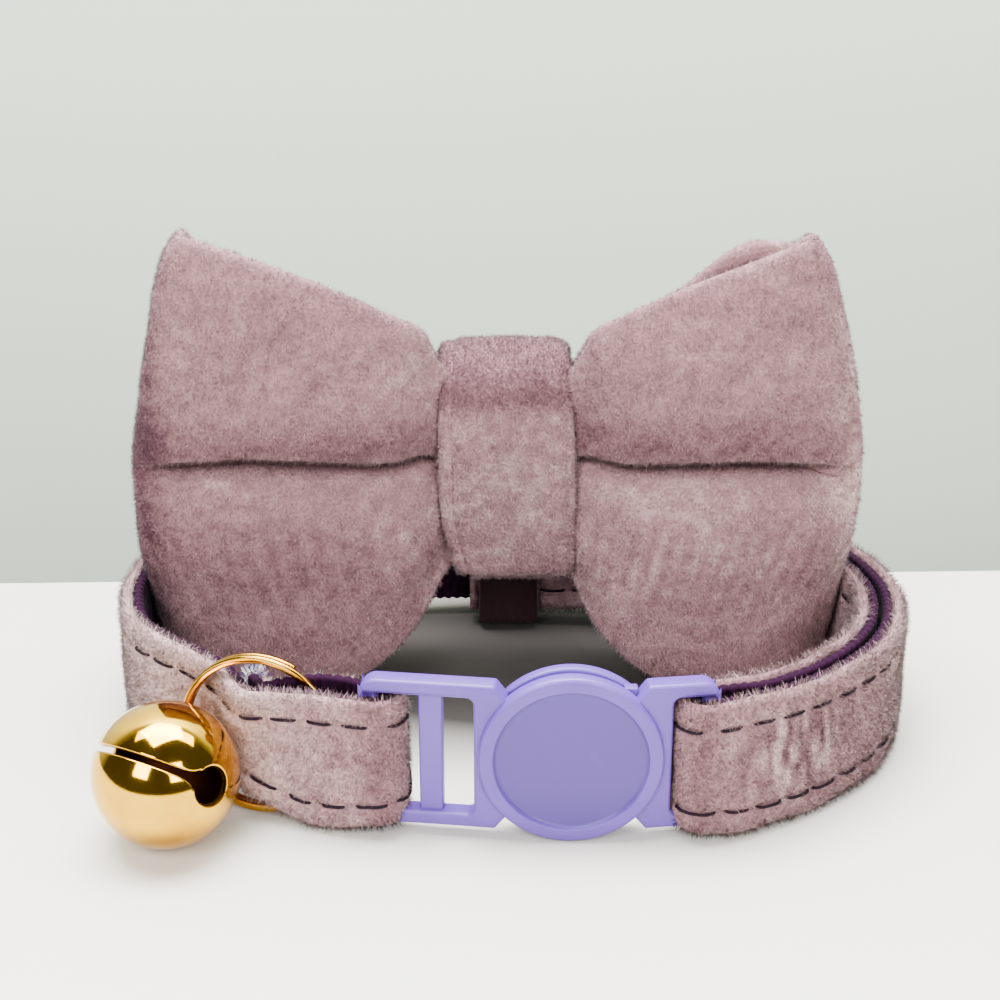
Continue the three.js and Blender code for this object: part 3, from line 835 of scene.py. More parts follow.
# ------------------------------------------------------------------------------ strap
@dataclass
class StrapLine:
    """The strap's plan line and edges, as stations from its cut end to the end of its return."""

    course: Array = table_of(
        # x, y, low, high of the outer layer, clockwise from the left bar to the right bar
        (-10.1, 1.6, 0.7, 12.4), (-12.4, 2.1, 0.3, 12.4), (-15.2, 3.0, 0.2, 12.3),
        (-18.0, 3.9, 1.0, 12.0), (-20.1, 4.9, 1.8, 11.5), (-21.4, 6.9, 2.0, 11.4),
        (-22.7, 8.9, 1.6, 11.6), (-25.2, 10.8, 0.3, 12.1), (-28.2, 13.1, 0.0, 12.3),
        (-30.5, 15.8, 0.0, 12.3), (-31.9, 20.0, 0.0, 12.3), (-32.3, 25.0, 0.0, 12.3),
        (-30.8, 31.0, 0.2, 12.5), (-26.6, 36.2, 0.6, 12.9), (-19.5, 39.8, 1.1, 13.4),
        (-10.0, 41.4, 1.3, 13.6), (0.0, 41.8, 1.3, 13.6), (10.0, 41.6, 1.3, 13.6),
        (20.0, 39.9, 1.0, 13.3), (27.8, 35.6, 0.5, 12.8), (32.2, 30.0, 0.1, 12.4),
        (34.1, 24.0, 0.0, 12.3), (34.0, 19.0, 0.0, 12.3), (32.7, 14.4, 0.0, 12.3),
        (30.2, 10.2, 0.0, 12.3), (26.6, 6.5, 0.0, 12.3), (22.4, 3.5, 0.1, 12.4),
        (19.0, 1.8, 0.2, 12.5), (16.55, 0.9, 0.5, 12.4),
    )
    webbing: float = 0.8
    bar_gap: float = 1.3
    ring_gap: float = 2.0
    layer_gap: float = 0.45
    slot_low: float = 2.45
    cut_end_x: float = -21.6
    return_end_x: float = -3.0

    def outer(self, count: int) -> dict[str, Array]:
        """The outer layer: a smooth cubic through the course by the distance along it."""
        x, y, low, high = self.course.T
        run = np.concatenate([[0.0], np.cumsum(np.hypot(np.diff(x), np.diff(y)))])
        at = np.linspace(0.0, run[-1], count)
        px, py = smooth_table(run, x, at), smooth_table(run, y, at)
        tx, ty = np.gradient(px), np.gradient(py)
        size = np.hypot(tx, ty)
        return {
            "x": px,
            "y": py,
            "nx": -ty / size,
            "ny": tx / size,
            "low": smooth_table(run, low, at),
            "high": smooth_table(run, high, at),
        }

    def facing(self, layer: dict[str, Array], gap: Array) -> dict[str, Array]:
        """The layer moved through the strap by two webbings and the gap, looking the other way."""
        reach = 2 * self.webbing + gap
        moved = {"x": layer["x"] - layer["nx"] * reach, "y": layer["y"] - layer["ny"] * reach}
        return {**layer, **moved, "nx": -layer["nx"], "ny": -layer["ny"]}

    def turn(self, end: dict[str, float], sense: float) -> dict[str, Array]:
        """The half circle round a bar, narrowed to the slot, from the outer layer inwards."""
        r = self.webbing + self.bar_gap / 2
        part = np.linspace(0.0, 1.0, 26)[1:-1]
        angle = math.atan2(end["ny"], end["nx"]) + sense * math.pi * part
        nx, ny = np.cos(angle), np.sin(angle)
        inside = ease(part, 0.5, 0.7) * (1 - ease(part, 0.8, 1.0))
        return {
            "x": end["x"] - end["nx"] * r + nx * r,
            "y": end["y"] - end["ny"] * r + ny * r,
            "nx": nx,
            "ny": ny,
            "low": end["low"] + (self.slot_low - end["low"]) * inside,
            "high": np.full_like(part, end["high"]),
        }

    def stations(self, step: float) -> dict[str, Array]:
        """The whole strap, evenly spaced along the seam between webbing and velvet.

        Args:
            step: distance between stations.

        Returns:
            x, y, nx, ny, low, high and run, the distance from the cut end.
        """
        outer = self.outer(1500)
        cut = np.argmax(outer["x"] <= self.cut_end_x)
        first = {k: v[:cut] for k, v in outer.items()}
        wide = self.layer_gap + (self.ring_gap - self.layer_gap) * ease(first["x"], -20.5, -14.5)
        gap = wide + (self.bar_gap - wide) * ease(first["x"], -13.0, -10.2)
        cut_end = self.facing(first, gap)
        back_from = len(outer["x"]) - np.argmax(outer["x"][::-1] <= self.return_end_x)
        last = {k: v[back_from:] for k, v in outer.items()}
        from_bar = np.hypot(last["x"] - outer["x"][-1], last["y"] - outer["y"][-1])
        back_gap = self.bar_gap + (self.layer_gap - self.bar_gap) * ease(from_bar, 0.5, 7.0)
        back = self.facing(last, back_gap)
        left = self.turn({k: v[0] for k, v in outer.items()}, 1.0)
        right = self.turn({k: v[-1] for k, v in outer.items()}, -1.0)
        parts = [
            {k: v[::-1] for k, v in cut_end.items()},
            {k: v[::-1] for k, v in left.items()},
            outer,
            right,
            {k: v[::-1] for k, v in back.items()},
        ]
        whole = {k: np.concatenate([p[k] for p in parts]) for k in outer}
        run = np.concatenate([[0.0], np.cumsum(np.hypot(np.diff(whole["x"]), np.diff(whole["y"])))])
        at = np.linspace(0.0, run[-1], int(run[-1] / step))
        even = {k: np.interp(at, run, v) for k, v in whole.items()}
        size = np.hypot(even["nx"], even["ny"])
        return {**even, "nx": even["nx"] / size, "ny": even["ny"] / size, "run": at}


def along_strap(line: dict[str, Array], offset: Array, height: Array) -> Array:
    """Points beside the strap's line: rows of (offset to the velvet side, height) by stations."""
    x = line["x"][None] + line["nx"][None] * offset
    y = line["y"][None] + line["ny"][None] * offset
    return np.stack([x, y, np.broadcast_to(height, x.shape)], axis=-1)


@dataclass
class Strap:
    """The doubled strap: webbing faced with velvet, top-stitched near both edges."""

    line: StrapLine = field(default_factory=StrapLine)
    cloth: float = 1.0
    seam: float = 0.12
    hem: float = 0.5
    stitch_in: float = 2.35
    stitch_pitch: float = 2.9
    stitch_long: float = 2.5
    rib_pitch: float = 0.85
    row_pitch: float = 0.57
    dip_wide: float = 0.34
    dip_deep: float = 0.42
    hem_round: float = 0.28

    def velvet(self) -> Skin:
        """The facing: flat between two sewn channels, each channel a bell-shaped dip, each hem a
        half round that wanders a little along the strap. "shag" is 0.5 at the hems, for longer
        fibres, and "pile" thins in the channels."""
        line = self.line.stations(0.25)
        low = line["low"] + 0.05
        high = line["high"] - 0.05 - 0.85 * (1 - ease(line["run"], 10.5, 12.5))
        flat = np.stack([line["run"], 0 * low, 0 * low], axis=1)
        low = low + 0.12 * lattice_noise(flat, 4.0, 3)
        high = high + 0.14 * lattice_noise(flat, 3.4, 4)
        share = np.linspace(0.0, 1.0, 31)[:, None]
        height = low + 0.45 + (high - low - 0.9) * share
        above, below = high - height, height - low
        dip = sum(bump_at(edge, self.stitch_in, self.dip_wide) for edge in (above, below))
        pull = 0.75 + 0.25 * np.cos(TAU * line["run"] / self.stitch_pitch)[None]
        over = np.stack(np.broadcast_arrays(line["run"][None], height, 0 * height), -1)
        offset = self.seam + self.cloth + 0.1 * lattice_noise(over, 2.6, 6) - self.dip_deep * dip * pull
        for edge in (above, below):
            offset = offset - self.hem_round * bump_at(edge, 0.2, 0.55)
        rows = along_strap(line, offset, height)[::-1]
        skin = thick_band(rows, self.cloth - 0.1, wrap_columns=False, rim=RIM)
        points = skin.points
        tone = nap(points, 11, 0.1, 0.1) + 0.02
        # Painted light on top of the nap: lighter towards the left end, where the light falls. The lines
        # below also darken round x = 19 and along the side runs, and lighten past x = 28.
        left = ease(-points[:, 0], 10.0, 24.0)
        inner = ease(points[:, 1], 3.0, 9.0) * (1 - ease(points[:, 1], 33.0, 38.0))
        tone += 0.11 + 0.2 * left - 0.1 * bump_at(points[:, 0], 19.0, 7.0) - 0.1 * inner
        tone += 0.06 * ease(points[:, 0], 28.0, 33.0)
        # Painted shade on the front where the strap turns into the buckle's slots.
        ends = bump_at(points[:, 0], -9.4, 1.1) + bump_at(points[:, 0], 15.8, 1.0)
        tone -= 0.24 * ends * ease(-points[:, 1], -6.0, -3.0)
        skin.values["tone"] = tone + self.brushed(points)
        rim = np.zeros((RIM, dip.shape[1]))
        thin = np.append(np.concatenate([dip[::-1], rim, dip * 0, rim]).ravel(), [0.0, 0.0])
        from_hem = np.minimum(above, below)
        hems = np.concatenate([from_hem[::-1], rim, from_hem + 9, rim])
        skin.values["shag"] = np.append(0.5 * bump_at(hems, 0.0, 1.1).ravel(), [0.0, 0.0])
        skin.values["pile"] = skin.values["outer"] * (1 - 0.72 * np.clip(thin, 0, 1))
        return skin

    def brushed(self, points: Array) -> Array:
        """Short upright brush strokes in the pile on the right of the front."""
        x, z = points[:, 0], points[:, 2]
        patch = bump_at(x, 23.6, 4.2) * bump_at(z, 6.6, 3.4)
        strokes = lattice_noise(np.stack([x + 0.12 * z, 0 * x, z * 0.2], axis=1), 0.46, 21)
        return patch * (strokes * 0.75 - 0.03)

    def webbing(self) -> Skin:
        """The webbing: a plain weave of ribs in height and run, and a corded bump on each edge."""
        line = self.line.stations(0.2)
        low, high = line["low"] + self.hem, line["high"] - self.hem
        share = np.linspace(0.0, 1.0, 24)[:, None]
        height = low + 0.3 + (high - low - 0.6) * share
        run = line["run"][None]
        row = np.round(height / self.row_pitch)
        weave = np.sin(TAU * run / self.rib_pitch + math.pi * row) * np.cos(TAU * height / self.row_pitch)
        front = along_strap(line, -0.06 + 0.0 * height, height)
        skin = thick_band(front[::-1], self.line.webbing - 0.12, wrap_columns=False, rim=RIM)
        cord = np.abs(np.sin(math.pi * run / self.rib_pitch))
        rib = np.concatenate([weave[::-1], np.repeat(cord, RIM, 0), weave, np.repeat(cord, RIM, 0)])
        rib = np.append(rib.ravel(), [0.0, 0.0])
        skin.values["yarn"] = 0.3 + 0.4 * rib
        rim = (skin.values["outer"] > 0.5) & (skin.values["outer"] < 1.0)
        swell = np.where(rim, 0.2, 0.08) * rib
        return replace(skin, points=skin.points + skin.normals() * swell[:, None])

    def stitches(self) -> Skin:
        """Both rows of top-stitching: each stitch a short wire that dips into the cloth at its ends."""
        line = self.line.stations(0.1)
        total = line["run"][-1]
        rng = np.random.default_rng(5)
        skins = []
        for top in (True, False):
            starts = np.arange(0.8, total - self.stitch_long, self.stitch_pitch) + (0.9 if top else 0.0)
            along = np.linspace(0.0, 1.0, 9)
            for start in starts:
                at = start + along * self.stitch_long * rng.uniform(0.82, 1.05)
                place = {k: np.interp(at, line["run"], line[k]) for k in line if k != "run"}
                edge = place["high"] - self.stitch_in if top else place["low"] + self.stitch_in
                sink = 0.5 * (np.abs(2 * along - 1) ** 5)
                off = self.seam + self.cloth + (-0.1 if top else 0.02) + rng.uniform(-0.1, 0.08) - sink
                path = along_strap(place, off[None], edge[None])[0]
                skins.append(wire_along(path, 0.13, 6))
        return Skin.joined(skins)

    def frayed_end(self) -> tuple[Skin, Skin]:
        """Loose ends at the cut: pale fluff and longer violet yarns, each a thin bent spike."""
        line = self.line.stations(0.24)
        rng = np.random.default_rng(8)
        start = np.array([line["x"][0], line["y"][0], 0.0])
        ahead = unit(np.array([line["x"][0] - line["x"][3], line["y"][0] - line["y"][3], 0.0]))
        sets = []
        for fine, count, length, width in ((True, 420, 1.15, 0.07), (False, 70, 1.9, 0.11)):
            if fine:
                height = 11.3 - np.abs(rng.normal(0.0, 2.6, count))
            else:
                height = 11.2 - rng.random(count) * 2.0
            across = rng.uniform(-0.9, 0.9, count)
            side = np.array([line["nx"][0], line["ny"][0], 0.0])
            root = start + side * across[:, None] + np.array([0, 0, 1.0]) * height[:, None]
            reach = unit(ahead * 0.7 + np.array([0, 0, 0.5]) + rng.normal(0, 0.5, (count, 3)))
            reach *= length * rng.uniform(0.4, 1.0, (count, 1))
            tilt = unit(np.cross(reach, rng.normal(size=(count, 3)))) * width / 2
            bent = root + reach * 0.55 + rng.normal(0, 0.12, (count, 3))
            upper = bent + tilt * 0.7, bent - tilt * 0.7
            tips = np.stack([root - tilt, root + tilt, *upper, root + reach], 1)
            base = np.arange(count)[:, None] * 5
            sets.append(Skin(tips.reshape(-1, 3), base + [0, 1, 2, 3], base + [3, 2, 4]))
        return sets[0], sets[1]

    def build(self, shop: Workshop) -> None:
        """Makes the strap's pieces and hides the imported strap parts."""
        velvet = self.velvet()
        facing = shop.make("strap_facing", velvet, STRAP_GROUND)
        pile = Pile(184000, length=0.54, lean=(0.0, 0.0, 0.1), scatter=0.5, seed=3).grow(velvet)
        fuzz = shop.make("strap_pile", pile, STRAP_PILE, flat=True)
        seams = shop.make("top_stitching", self.stitches(), STITCHING)
        fluff, yarn = self.frayed_end()
        fray = shop.make("cut_end_fluff", fluff, FLUFF, flat=True)
        loose = shop.make("cut_end_yarn", yarn, LOOSE_YARN, flat=True)
        belt = shop.make("strap_belt", self.webbing(), WEBBING)
        length = self.line.stations(1.0)["run"][-1] * MM
        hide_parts("strap_velvet")
        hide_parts("strap_webbing")


# ------------------------------------------------------------------------------ buckle
@dataclass(frozen=True)
class Disc:
    """The two round plates of the catch."""

    centre_x: float = 5.55
    centre_z: float = 7.4
    radius: float = 7.3
    recess: float = 6.1
    recess_depth: float = 0.44
    thick: float = 1.2
    rear_radius: float = 7.15
    rear_near: float = 2.1
    rear_far: float = 3.2

    def _arc(self, radius: float, y: float, r: float, start: float, end: float) -> Array:
        """A quarter round in (radius, y) about a centre, from one angle to another in degrees."""
        turn = np.radians(np.linspace(start, end, 7))
        return np.stack([radius + r * np.cos(turn), y + r * np.sin(turn)], axis=1)

    def front(self) -> Skin:
        """The front plate: a turned profile with a rounded rim round a flat sunk floor."""
        floor = np.array([[0.02, self.recess_depth], [2.0, self.recess_depth], [5.2, self.recess_depth]])
        profile = np.concatenate(
            [
                floor,
                self._arc(self.recess - 0.35, self.recess_depth - 0.35, 0.35, 90, 0),
                self._arc(self.recess + 0.12, 0.12, 0.12, 180, 270),
                self._arc(self.radius - 0.42, 0.42, 0.42, 270, 360),
                self._arc(self.radius - 0.2, self.thick - 0.2, 0.2, 0, 90),
                np.array([[5.0, self.thick], [0.02, self.thick]]),
            ]
        )
        return lathe(profile, (self.centre_x, self.centre_z))

    def middle(self) -> Skin:
        """The catch's core between the plates, seen as a thin dark line."""
        near, far = self.thick - 0.1, self.rear_near + 0.1
        profile = np.array([[0.02, near], [self.radius - 0.5, near], [self.radius - 0.5, far], [0.02, far]])
        return lathe(profile, (self.centre_x, self.centre_z))

    def rear(self) -> Skin:
        """The rear plate, rounded at both edges."""
        profile = np.concatenate(
            [
                np.array([[0.02, self.rear_near], [5.0, self.rear_near]]),
                self._arc(self.rear_radius - 0.25, self.rear_near + 0.25, 0.25, 270, 360),
                self._arc(self.rear_radius - 0.35, self.rear_far - 0.35, 0.35, 0, 90),
                np.array([[5.0, self.rear_far], [0.02, self.rear_far]]),
            ]
        )
        return lathe(profile, (self.centre_x, self.centre_z))


@dataclass(frozen=True)
class SideFrame:
    """One flat frame of the buckle, swept back from the disc, with its strap bar."""

    side: int
    end: float
    bar: float
    open_to: float
    disc: Disc = Disc()
    front: float = 0.5
    thick: float = 1.7
    low: float = 1.0
    high: float = 13.8
    rail: float = 1.2
    corner: float = 1.3
    bar_thick: float = 0.9
    edge: float = 0.28
    sweep_deg: float = 7.3

    def swept(self, points: Array) -> Array:
        """Turns the frame back about the upright line where it leaves the disc."""
        hinge = self.disc.centre_x + self.side * 6.0
        angle = math.radians(self.side * self.sweep_deg)
        x, y = points[:, 0] - hinge, points[:, 1] - self.front
        cos, sin = math.cos(angle), math.sin(angle)
        return np.stack([x * cos - y * sin + hinge, x * sin + y * cos + self.front, points[:, 2]], axis=1)

    def body(self) -> Skin:
        """Both rails and the post at the disc, as one plate open towards the strap."""
        s, end = self.side, self.end
        chamfer, inner = self.disc.centre_x + s * 6.0, self.disc.centre_x + s * 5.0
        stub = end - s * (self.bar + 0.1)
        corners = [
            (inner, self.high - 1.3, 0.3),
            (chamfer, self.high, 0.45),
            (end, self.high, self.corner),
            (end, self.high - self.rail, 0.25),
            (self.open_to, self.high - self.rail, 0.6),
            (self.open_to, self.low + self.rail, 0.6),
            (stub, self.low + self.rail, 0.15),
            (stub, self.low, 0.25),
            (chamfer, self.low, 0.45),
            (inner, self.low + 1.3, 0.3),
            (inner + s * 1.3, self.low + 3.2, 0.3),
            (inner + s * 1.3, self.high - 3.2, 0.3),
        ]
        plate = rounded_plate(rounded_outline(corners), self.front, self.thick, self.edge)
        return plate.moved(self.swept)

    def upright(
        self, start: float, stop: float, front: float, thick: float, round_by: float, into: float = 0.35
    ) -> Skin:
        """An upright bar from x = start to x = stop that ends a little way into both rails."""
        low, high = self.low + into, self.high - into
        corners = [(start, low, 0.3), (stop, low, 0.3), (stop, high, 0.3), (start, high, 0.3)]
        plate = rounded_plate(rounded_outline(corners), front, thick, round_by)
        return plate.moved(self.swept)

    def strap_bar(self) -> Skin:
        """The thin bar that the strap wraps."""
        ends = sorted((self.end, self.end - self.side * self.bar))
        rear = self.front + self.thick
        return self.upright(ends[0], ends[1], rear - self.bar_thick, self.bar_thick, 0.3, 0.95)


@dataclass
class Buckle:
    """The fastened breakaway buckle: housing on the left, tongue on the right."""

    disc: Disc = field(default_factory=Disc)
    left: SideFrame = field(default_factory=lambda: SideFrame(-1, -11.1, 1.35, -2.1))
    right: SideFrame = field(default_factory=lambda: SideFrame(1, 17.1, 1.1, 13.5))

    def build(self, shop: Workshop) -> None:
        """Makes both halves and hides the imported housing and tongue."""
        post = self.left.upright(-6.5, -4.6, self.left.front + 0.45, self.left.thick - 0.6, 0.22)
        notch = rounded_outline([(9.6, 12.6, 0.2), (10.7, 12.6, 0.2), (10.7, 13.3, 0.2), (9.6, 13.3, 0.2)])
        housing = [
            self.disc.front(),
            self.disc.middle(),
            self.disc.rear(),
            self.left.body(),
            post,
            self.left.strap_bar(),
            rounded_plate(notch, 1.25, 0.85, 0.12),
        ]
        tongue = [self.right.body(), self.right.strap_bar()]
        whole = Skin.joined(housing)
        # Painted shade: the recess floor inside the disc's rim is marked to take a darker colour.
        from_axis = np.hypot(whole.points[:, 0] - self.disc.centre_x, whole.points[:, 2] - self.disc.centre_z)
        floor = whole.points[:, 1] < self.disc.recess_depth + 0.01
        whole.values["sunk"] = (floor & (from_axis < self.disc.recess - 0.05)) * 1.0
        body = shop.make("buckle_housing_shell", whole, BUCKLE_PLASTIC)
        blade = shop.make("buckle_tongue_shell", Skin.joined(tongue), BUCKLE_PLASTIC)
        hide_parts("buckle_housing")
        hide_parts("buckle_tongue")


# ------------------------------------------------------------------------------ bell and split ring
@dataclass(frozen=True)
class SplitRing:
    """Two flat coils of one wire, side by side, that step across near their ends."""

    centre: Triple = (-19.45, 5.83, 6.72)
    outer: float = 6.75
    radial: float = 0.66
    axial: float = 0.5
    yaw_deg: float = 15.0
    lean_deg: float = 7.0
    turns: float = 1.89
    start_deg: float = 27.0

    def axes(self) -> tuple[Array, Array]:
        """The directions to the right in the ring's plane and through it to the rear."""
        yaw, lean = math.radians(self.yaw_deg), math.radians(self.lean_deg)
        rear = np.array([math.sin(yaw), math.cos(yaw), 0.0]) * math.cos(lean)
        return np.array([math.cos(yaw), -math.sin(yaw), 0.0]), rear - np.array([0.0, 0.0, math.sin(lean)])

    def at(self, angle: Array, radius: Array, off: Array) -> Array:
        """Places on the ring: the angle right of the top, the radius and the offset through it."""
        right, rear = self.axes()
        up = np.cross(right, rear)
        spread = radius * np.sin(angle), radius * np.cos(angle)
        centre = np.array(self.centre)
        return centre + spread[0][..., None] * right + spread[1][..., None] * up + off[..., None] * rear

    def skin(self) -> Skin:
        """The wire's rounded flat section carried down the coil; its ends are cut square."""
        run = np.linspace(0.0, TAU * self.turns, 320)[:, None]
        step = ease(run, math.radians(288), math.radians(348))
        side = self.axial / 2 + 0.02
        turn = np.arange(20) * TAU / 20
        power = 0.55
        across = np.sign(np.sin(turn)) * np.abs(np.sin(turn)) ** power * self.axial / 2
        out = np.sign(np.cos(turn)) * np.abs(np.cos(turn)) ** power * self.radial / 2
        taper = 1 - 0.45 * ease(run, TAU * self.turns - 0.35, TAU * self.turns)
        angle = math.radians(self.start_deg) - run
        radius = self.outer - self.radial / 2 + out[None] * taper
        rows = self.at(angle + 0 * radius, radius, side - 2 * side * step + across[None] * taper)
        skin = Skin.grid(rows, wrap_columns=True)
        last = len(run) * 20
        return skin.capped(np.arange(20)[::-1], np.arange(last - 20, last)).outward()


@dataclass
class Bell:
    """The round bell: a pressed shell with a slot between two holes, a loop and a loose ball."""

    centre: Triple = (-26.25, 0.9, 5.84)
    radius: float = 5.82
    wall: float = 0.5
    slot: float = 0.52
    hole: float = 1.6
    hole_deg: float = 76.0
    pole: Triple = (-0.385, -0.61, 0.693)
    along: Triple = (0.863, -0.504, 0.036)
    clapper: float = 1.7
    lip: float = 0.16
    ring: SplitRing = field(default_factory=SplitRing)

    def axes(self) -> tuple[Array, Array, Array]:
        """The slot's own axes: to its middle, to its end and across it."""
        pole = unit(np.array(self.pole))
        along = np.array(self.along)
        along = unit(along - pole * (along @ pole))
        return pole, along, np.cross(pole, along)

    def half_width(self, phi: Array) -> Array:
        """The angle from the slot's middle line to its edge at an angle along it: half the slot, or
        the hole's circle where that is wider, and nothing beyond the holes."""
        hole = self.hole / self.radius
        away = np.abs(np.abs(phi) - math.radians(self.hole_deg))
        flare = self.slot / 2 + 0.5 * np.exp(-np.maximum(away - hole, 0.0) / 0.09)
        slot = np.where(np.abs(phi) < math.radians(self.hole_deg), flare / self.radius, 0.0)
        inside = np.clip(np.cos(hole) / np.cos(np.minimum(away, hole)), -1.0, 1.0)
        return np.maximum(slot, np.where(away < hole, np.arccos(inside), 0.0))

    def shell(self) -> tuple[Skin, Array]:
        """Two halves either side of the slot. Each goes from the inner pole over the inner face to the
        slot's edge, round a small lip and over the outer face to the outer pole.

        Returns:
            The skin and the normal at each of its points.
        """
        centre = math.radians(self.hole_deg)
        hole = self.hole / self.radius
        fine = centre + hole * np.cos(np.linspace(math.pi, 0.0, 25))
        plain = np.linspace(-centre + hole, centre - hole, 60)[1:-1]
        far = np.linspace(centre + hole, TAU - centre - hole, 50)[1:-1]
        phi = np.concatenate([-fine[::-1], plain, fine, far])
        width = self.half_width(phi)[None]
        lip = self.lip
        open_by = np.minimum(width / (self.slot / 2 / self.radius), 1.0)
        turn = np.linspace(0.0, math.pi / 2, 5)[:, None]
        t = np.linspace(0.0, 1.0, 30)[:, None] ** 1.35
        mouth = width + open_by * lip / self.radius * (1 - np.sin(turn))
        rise = self.radius - open_by * lip * (1 - np.cos(turn))
        start = open_by * lip / self.radius
        outer = width + start + (math.pi / 2 - width - start) * t
        inner = width + (math.pi / 2 - width) * t[::-1]
        angle = np.concatenate([inner, mouth[::-1], outer[1:]])
        inside, outside = np.full_like(inner, self.radius - self.wall), np.full_like(outer[1:], self.radius)
        radius = np.concatenate([inside, rise[::-1], outside])
        pole, along, across = self.axes()
        circle = np.cos(phi)[None, :, None] * pole + np.sin(phi)[None, :, None] * along
        skins, normals = [], []
        for way in (1.0, -1.0):
            outward = np.cos(angle)[..., None] * circle + way * np.sin(angle)[..., None] * across
            into = -np.sin(angle)[..., None] * circle + way * np.cos(angle)[..., None] * across
            points = np.array(self.centre) + outward * radius[..., None]
            skin = Skin.grid(points, wrap_columns=True)
            skins.append(replace(skin, quads=skin.quads[:, :: int(way)]))
            lean = np.concatenate(
                [np.full((len(inner), 1), math.pi), turn[::-1], np.zeros((len(outer) - 1, 1))]
            )
            normal = np.cos(lean)[..., None] * outward - np.sin(lean)[..., None] * into
            normals.append(normal.reshape(-1, 3))
        whole = Skin.joined(skins)
        away = np.linalg.norm(whole.points - np.array(self.centre), axis=1)
        whole.values["inside"] = ease(-away, 0.1 - self.radius, 0.3 - self.radius)
        return whole, np.concatenate(normals)

    def loop(self) -> Skin:
        """The soldered loop behind the bell that the ring passes through."""
        wire_middle = np.array(self.ring.outer - self.ring.radial / 2)
        seat = self.ring.at(np.array(-math.pi / 2), wire_middle, np.array(0.0))
        turn = np.linspace(0.0, TAU, 49)[:-1]
        tube = np.arange(14) * TAU / 14
        loop_radius, wire = 0.98, 0.32
        reach = loop_radius + wire * np.cos(tube)[None]
        x = seat[0] + reach * np.cos(turn)[:, None]
        y = seat[1] + reach * np.sin(turn)[:, None]
        z = seat[2] + wire * np.sin(tube)[None] + 0 * x
        return Skin.grid(np.stack([x, y, z], axis=-1), wrap_rows=True, wrap_columns=True).outward()

    def ball(self) -> Skin:
        """The clapper: a small sphere on the bell's floor, by latitude and longitude."""
        lift = self.wall + self.clapper + 0.02
        v = np.linspace(0.001, math.pi - 0.001, 33)[:, None]
        u = np.arange(64)[None] * TAU / 64
        x = self.centre[0] + self.clapper * np.sin(v) * np.cos(u)
        y = self.centre[1] + self.clapper * np.sin(v) * np.sin(u)
        z = lift + self.clapper * np.cos(v) + 0 * x
        skin = Skin.grid(np.stack([x, y, z], axis=-1), wrap_columns=True)
        last = len(skin.points)
        return skin.capped(np.arange(64)[::-1], np.arange(last - 64, last)).outward()

    def build(self, shop: Workshop) -> None:
        """Makes the bell, its clapper and the ring."""
        skin, normals = self.shell()
        shell = shop.make("bell_shell", skin, BELL_GILT)
        shell.data.normals_split_custom_set_from_vertices(normals.tolist())
        loop = shop.make("bell_loop", self.loop(), BELL_GILT)
        ball = shop.make("bell_clapper_ball", self.ball(), BELL_GILT)
        ring = shop.make("split_ring_coil", self.ring.skin(), RING_GILT)
        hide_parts("bell_body")
        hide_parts("bell_body")
        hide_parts("bell_clapper")
        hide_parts("split_ring")


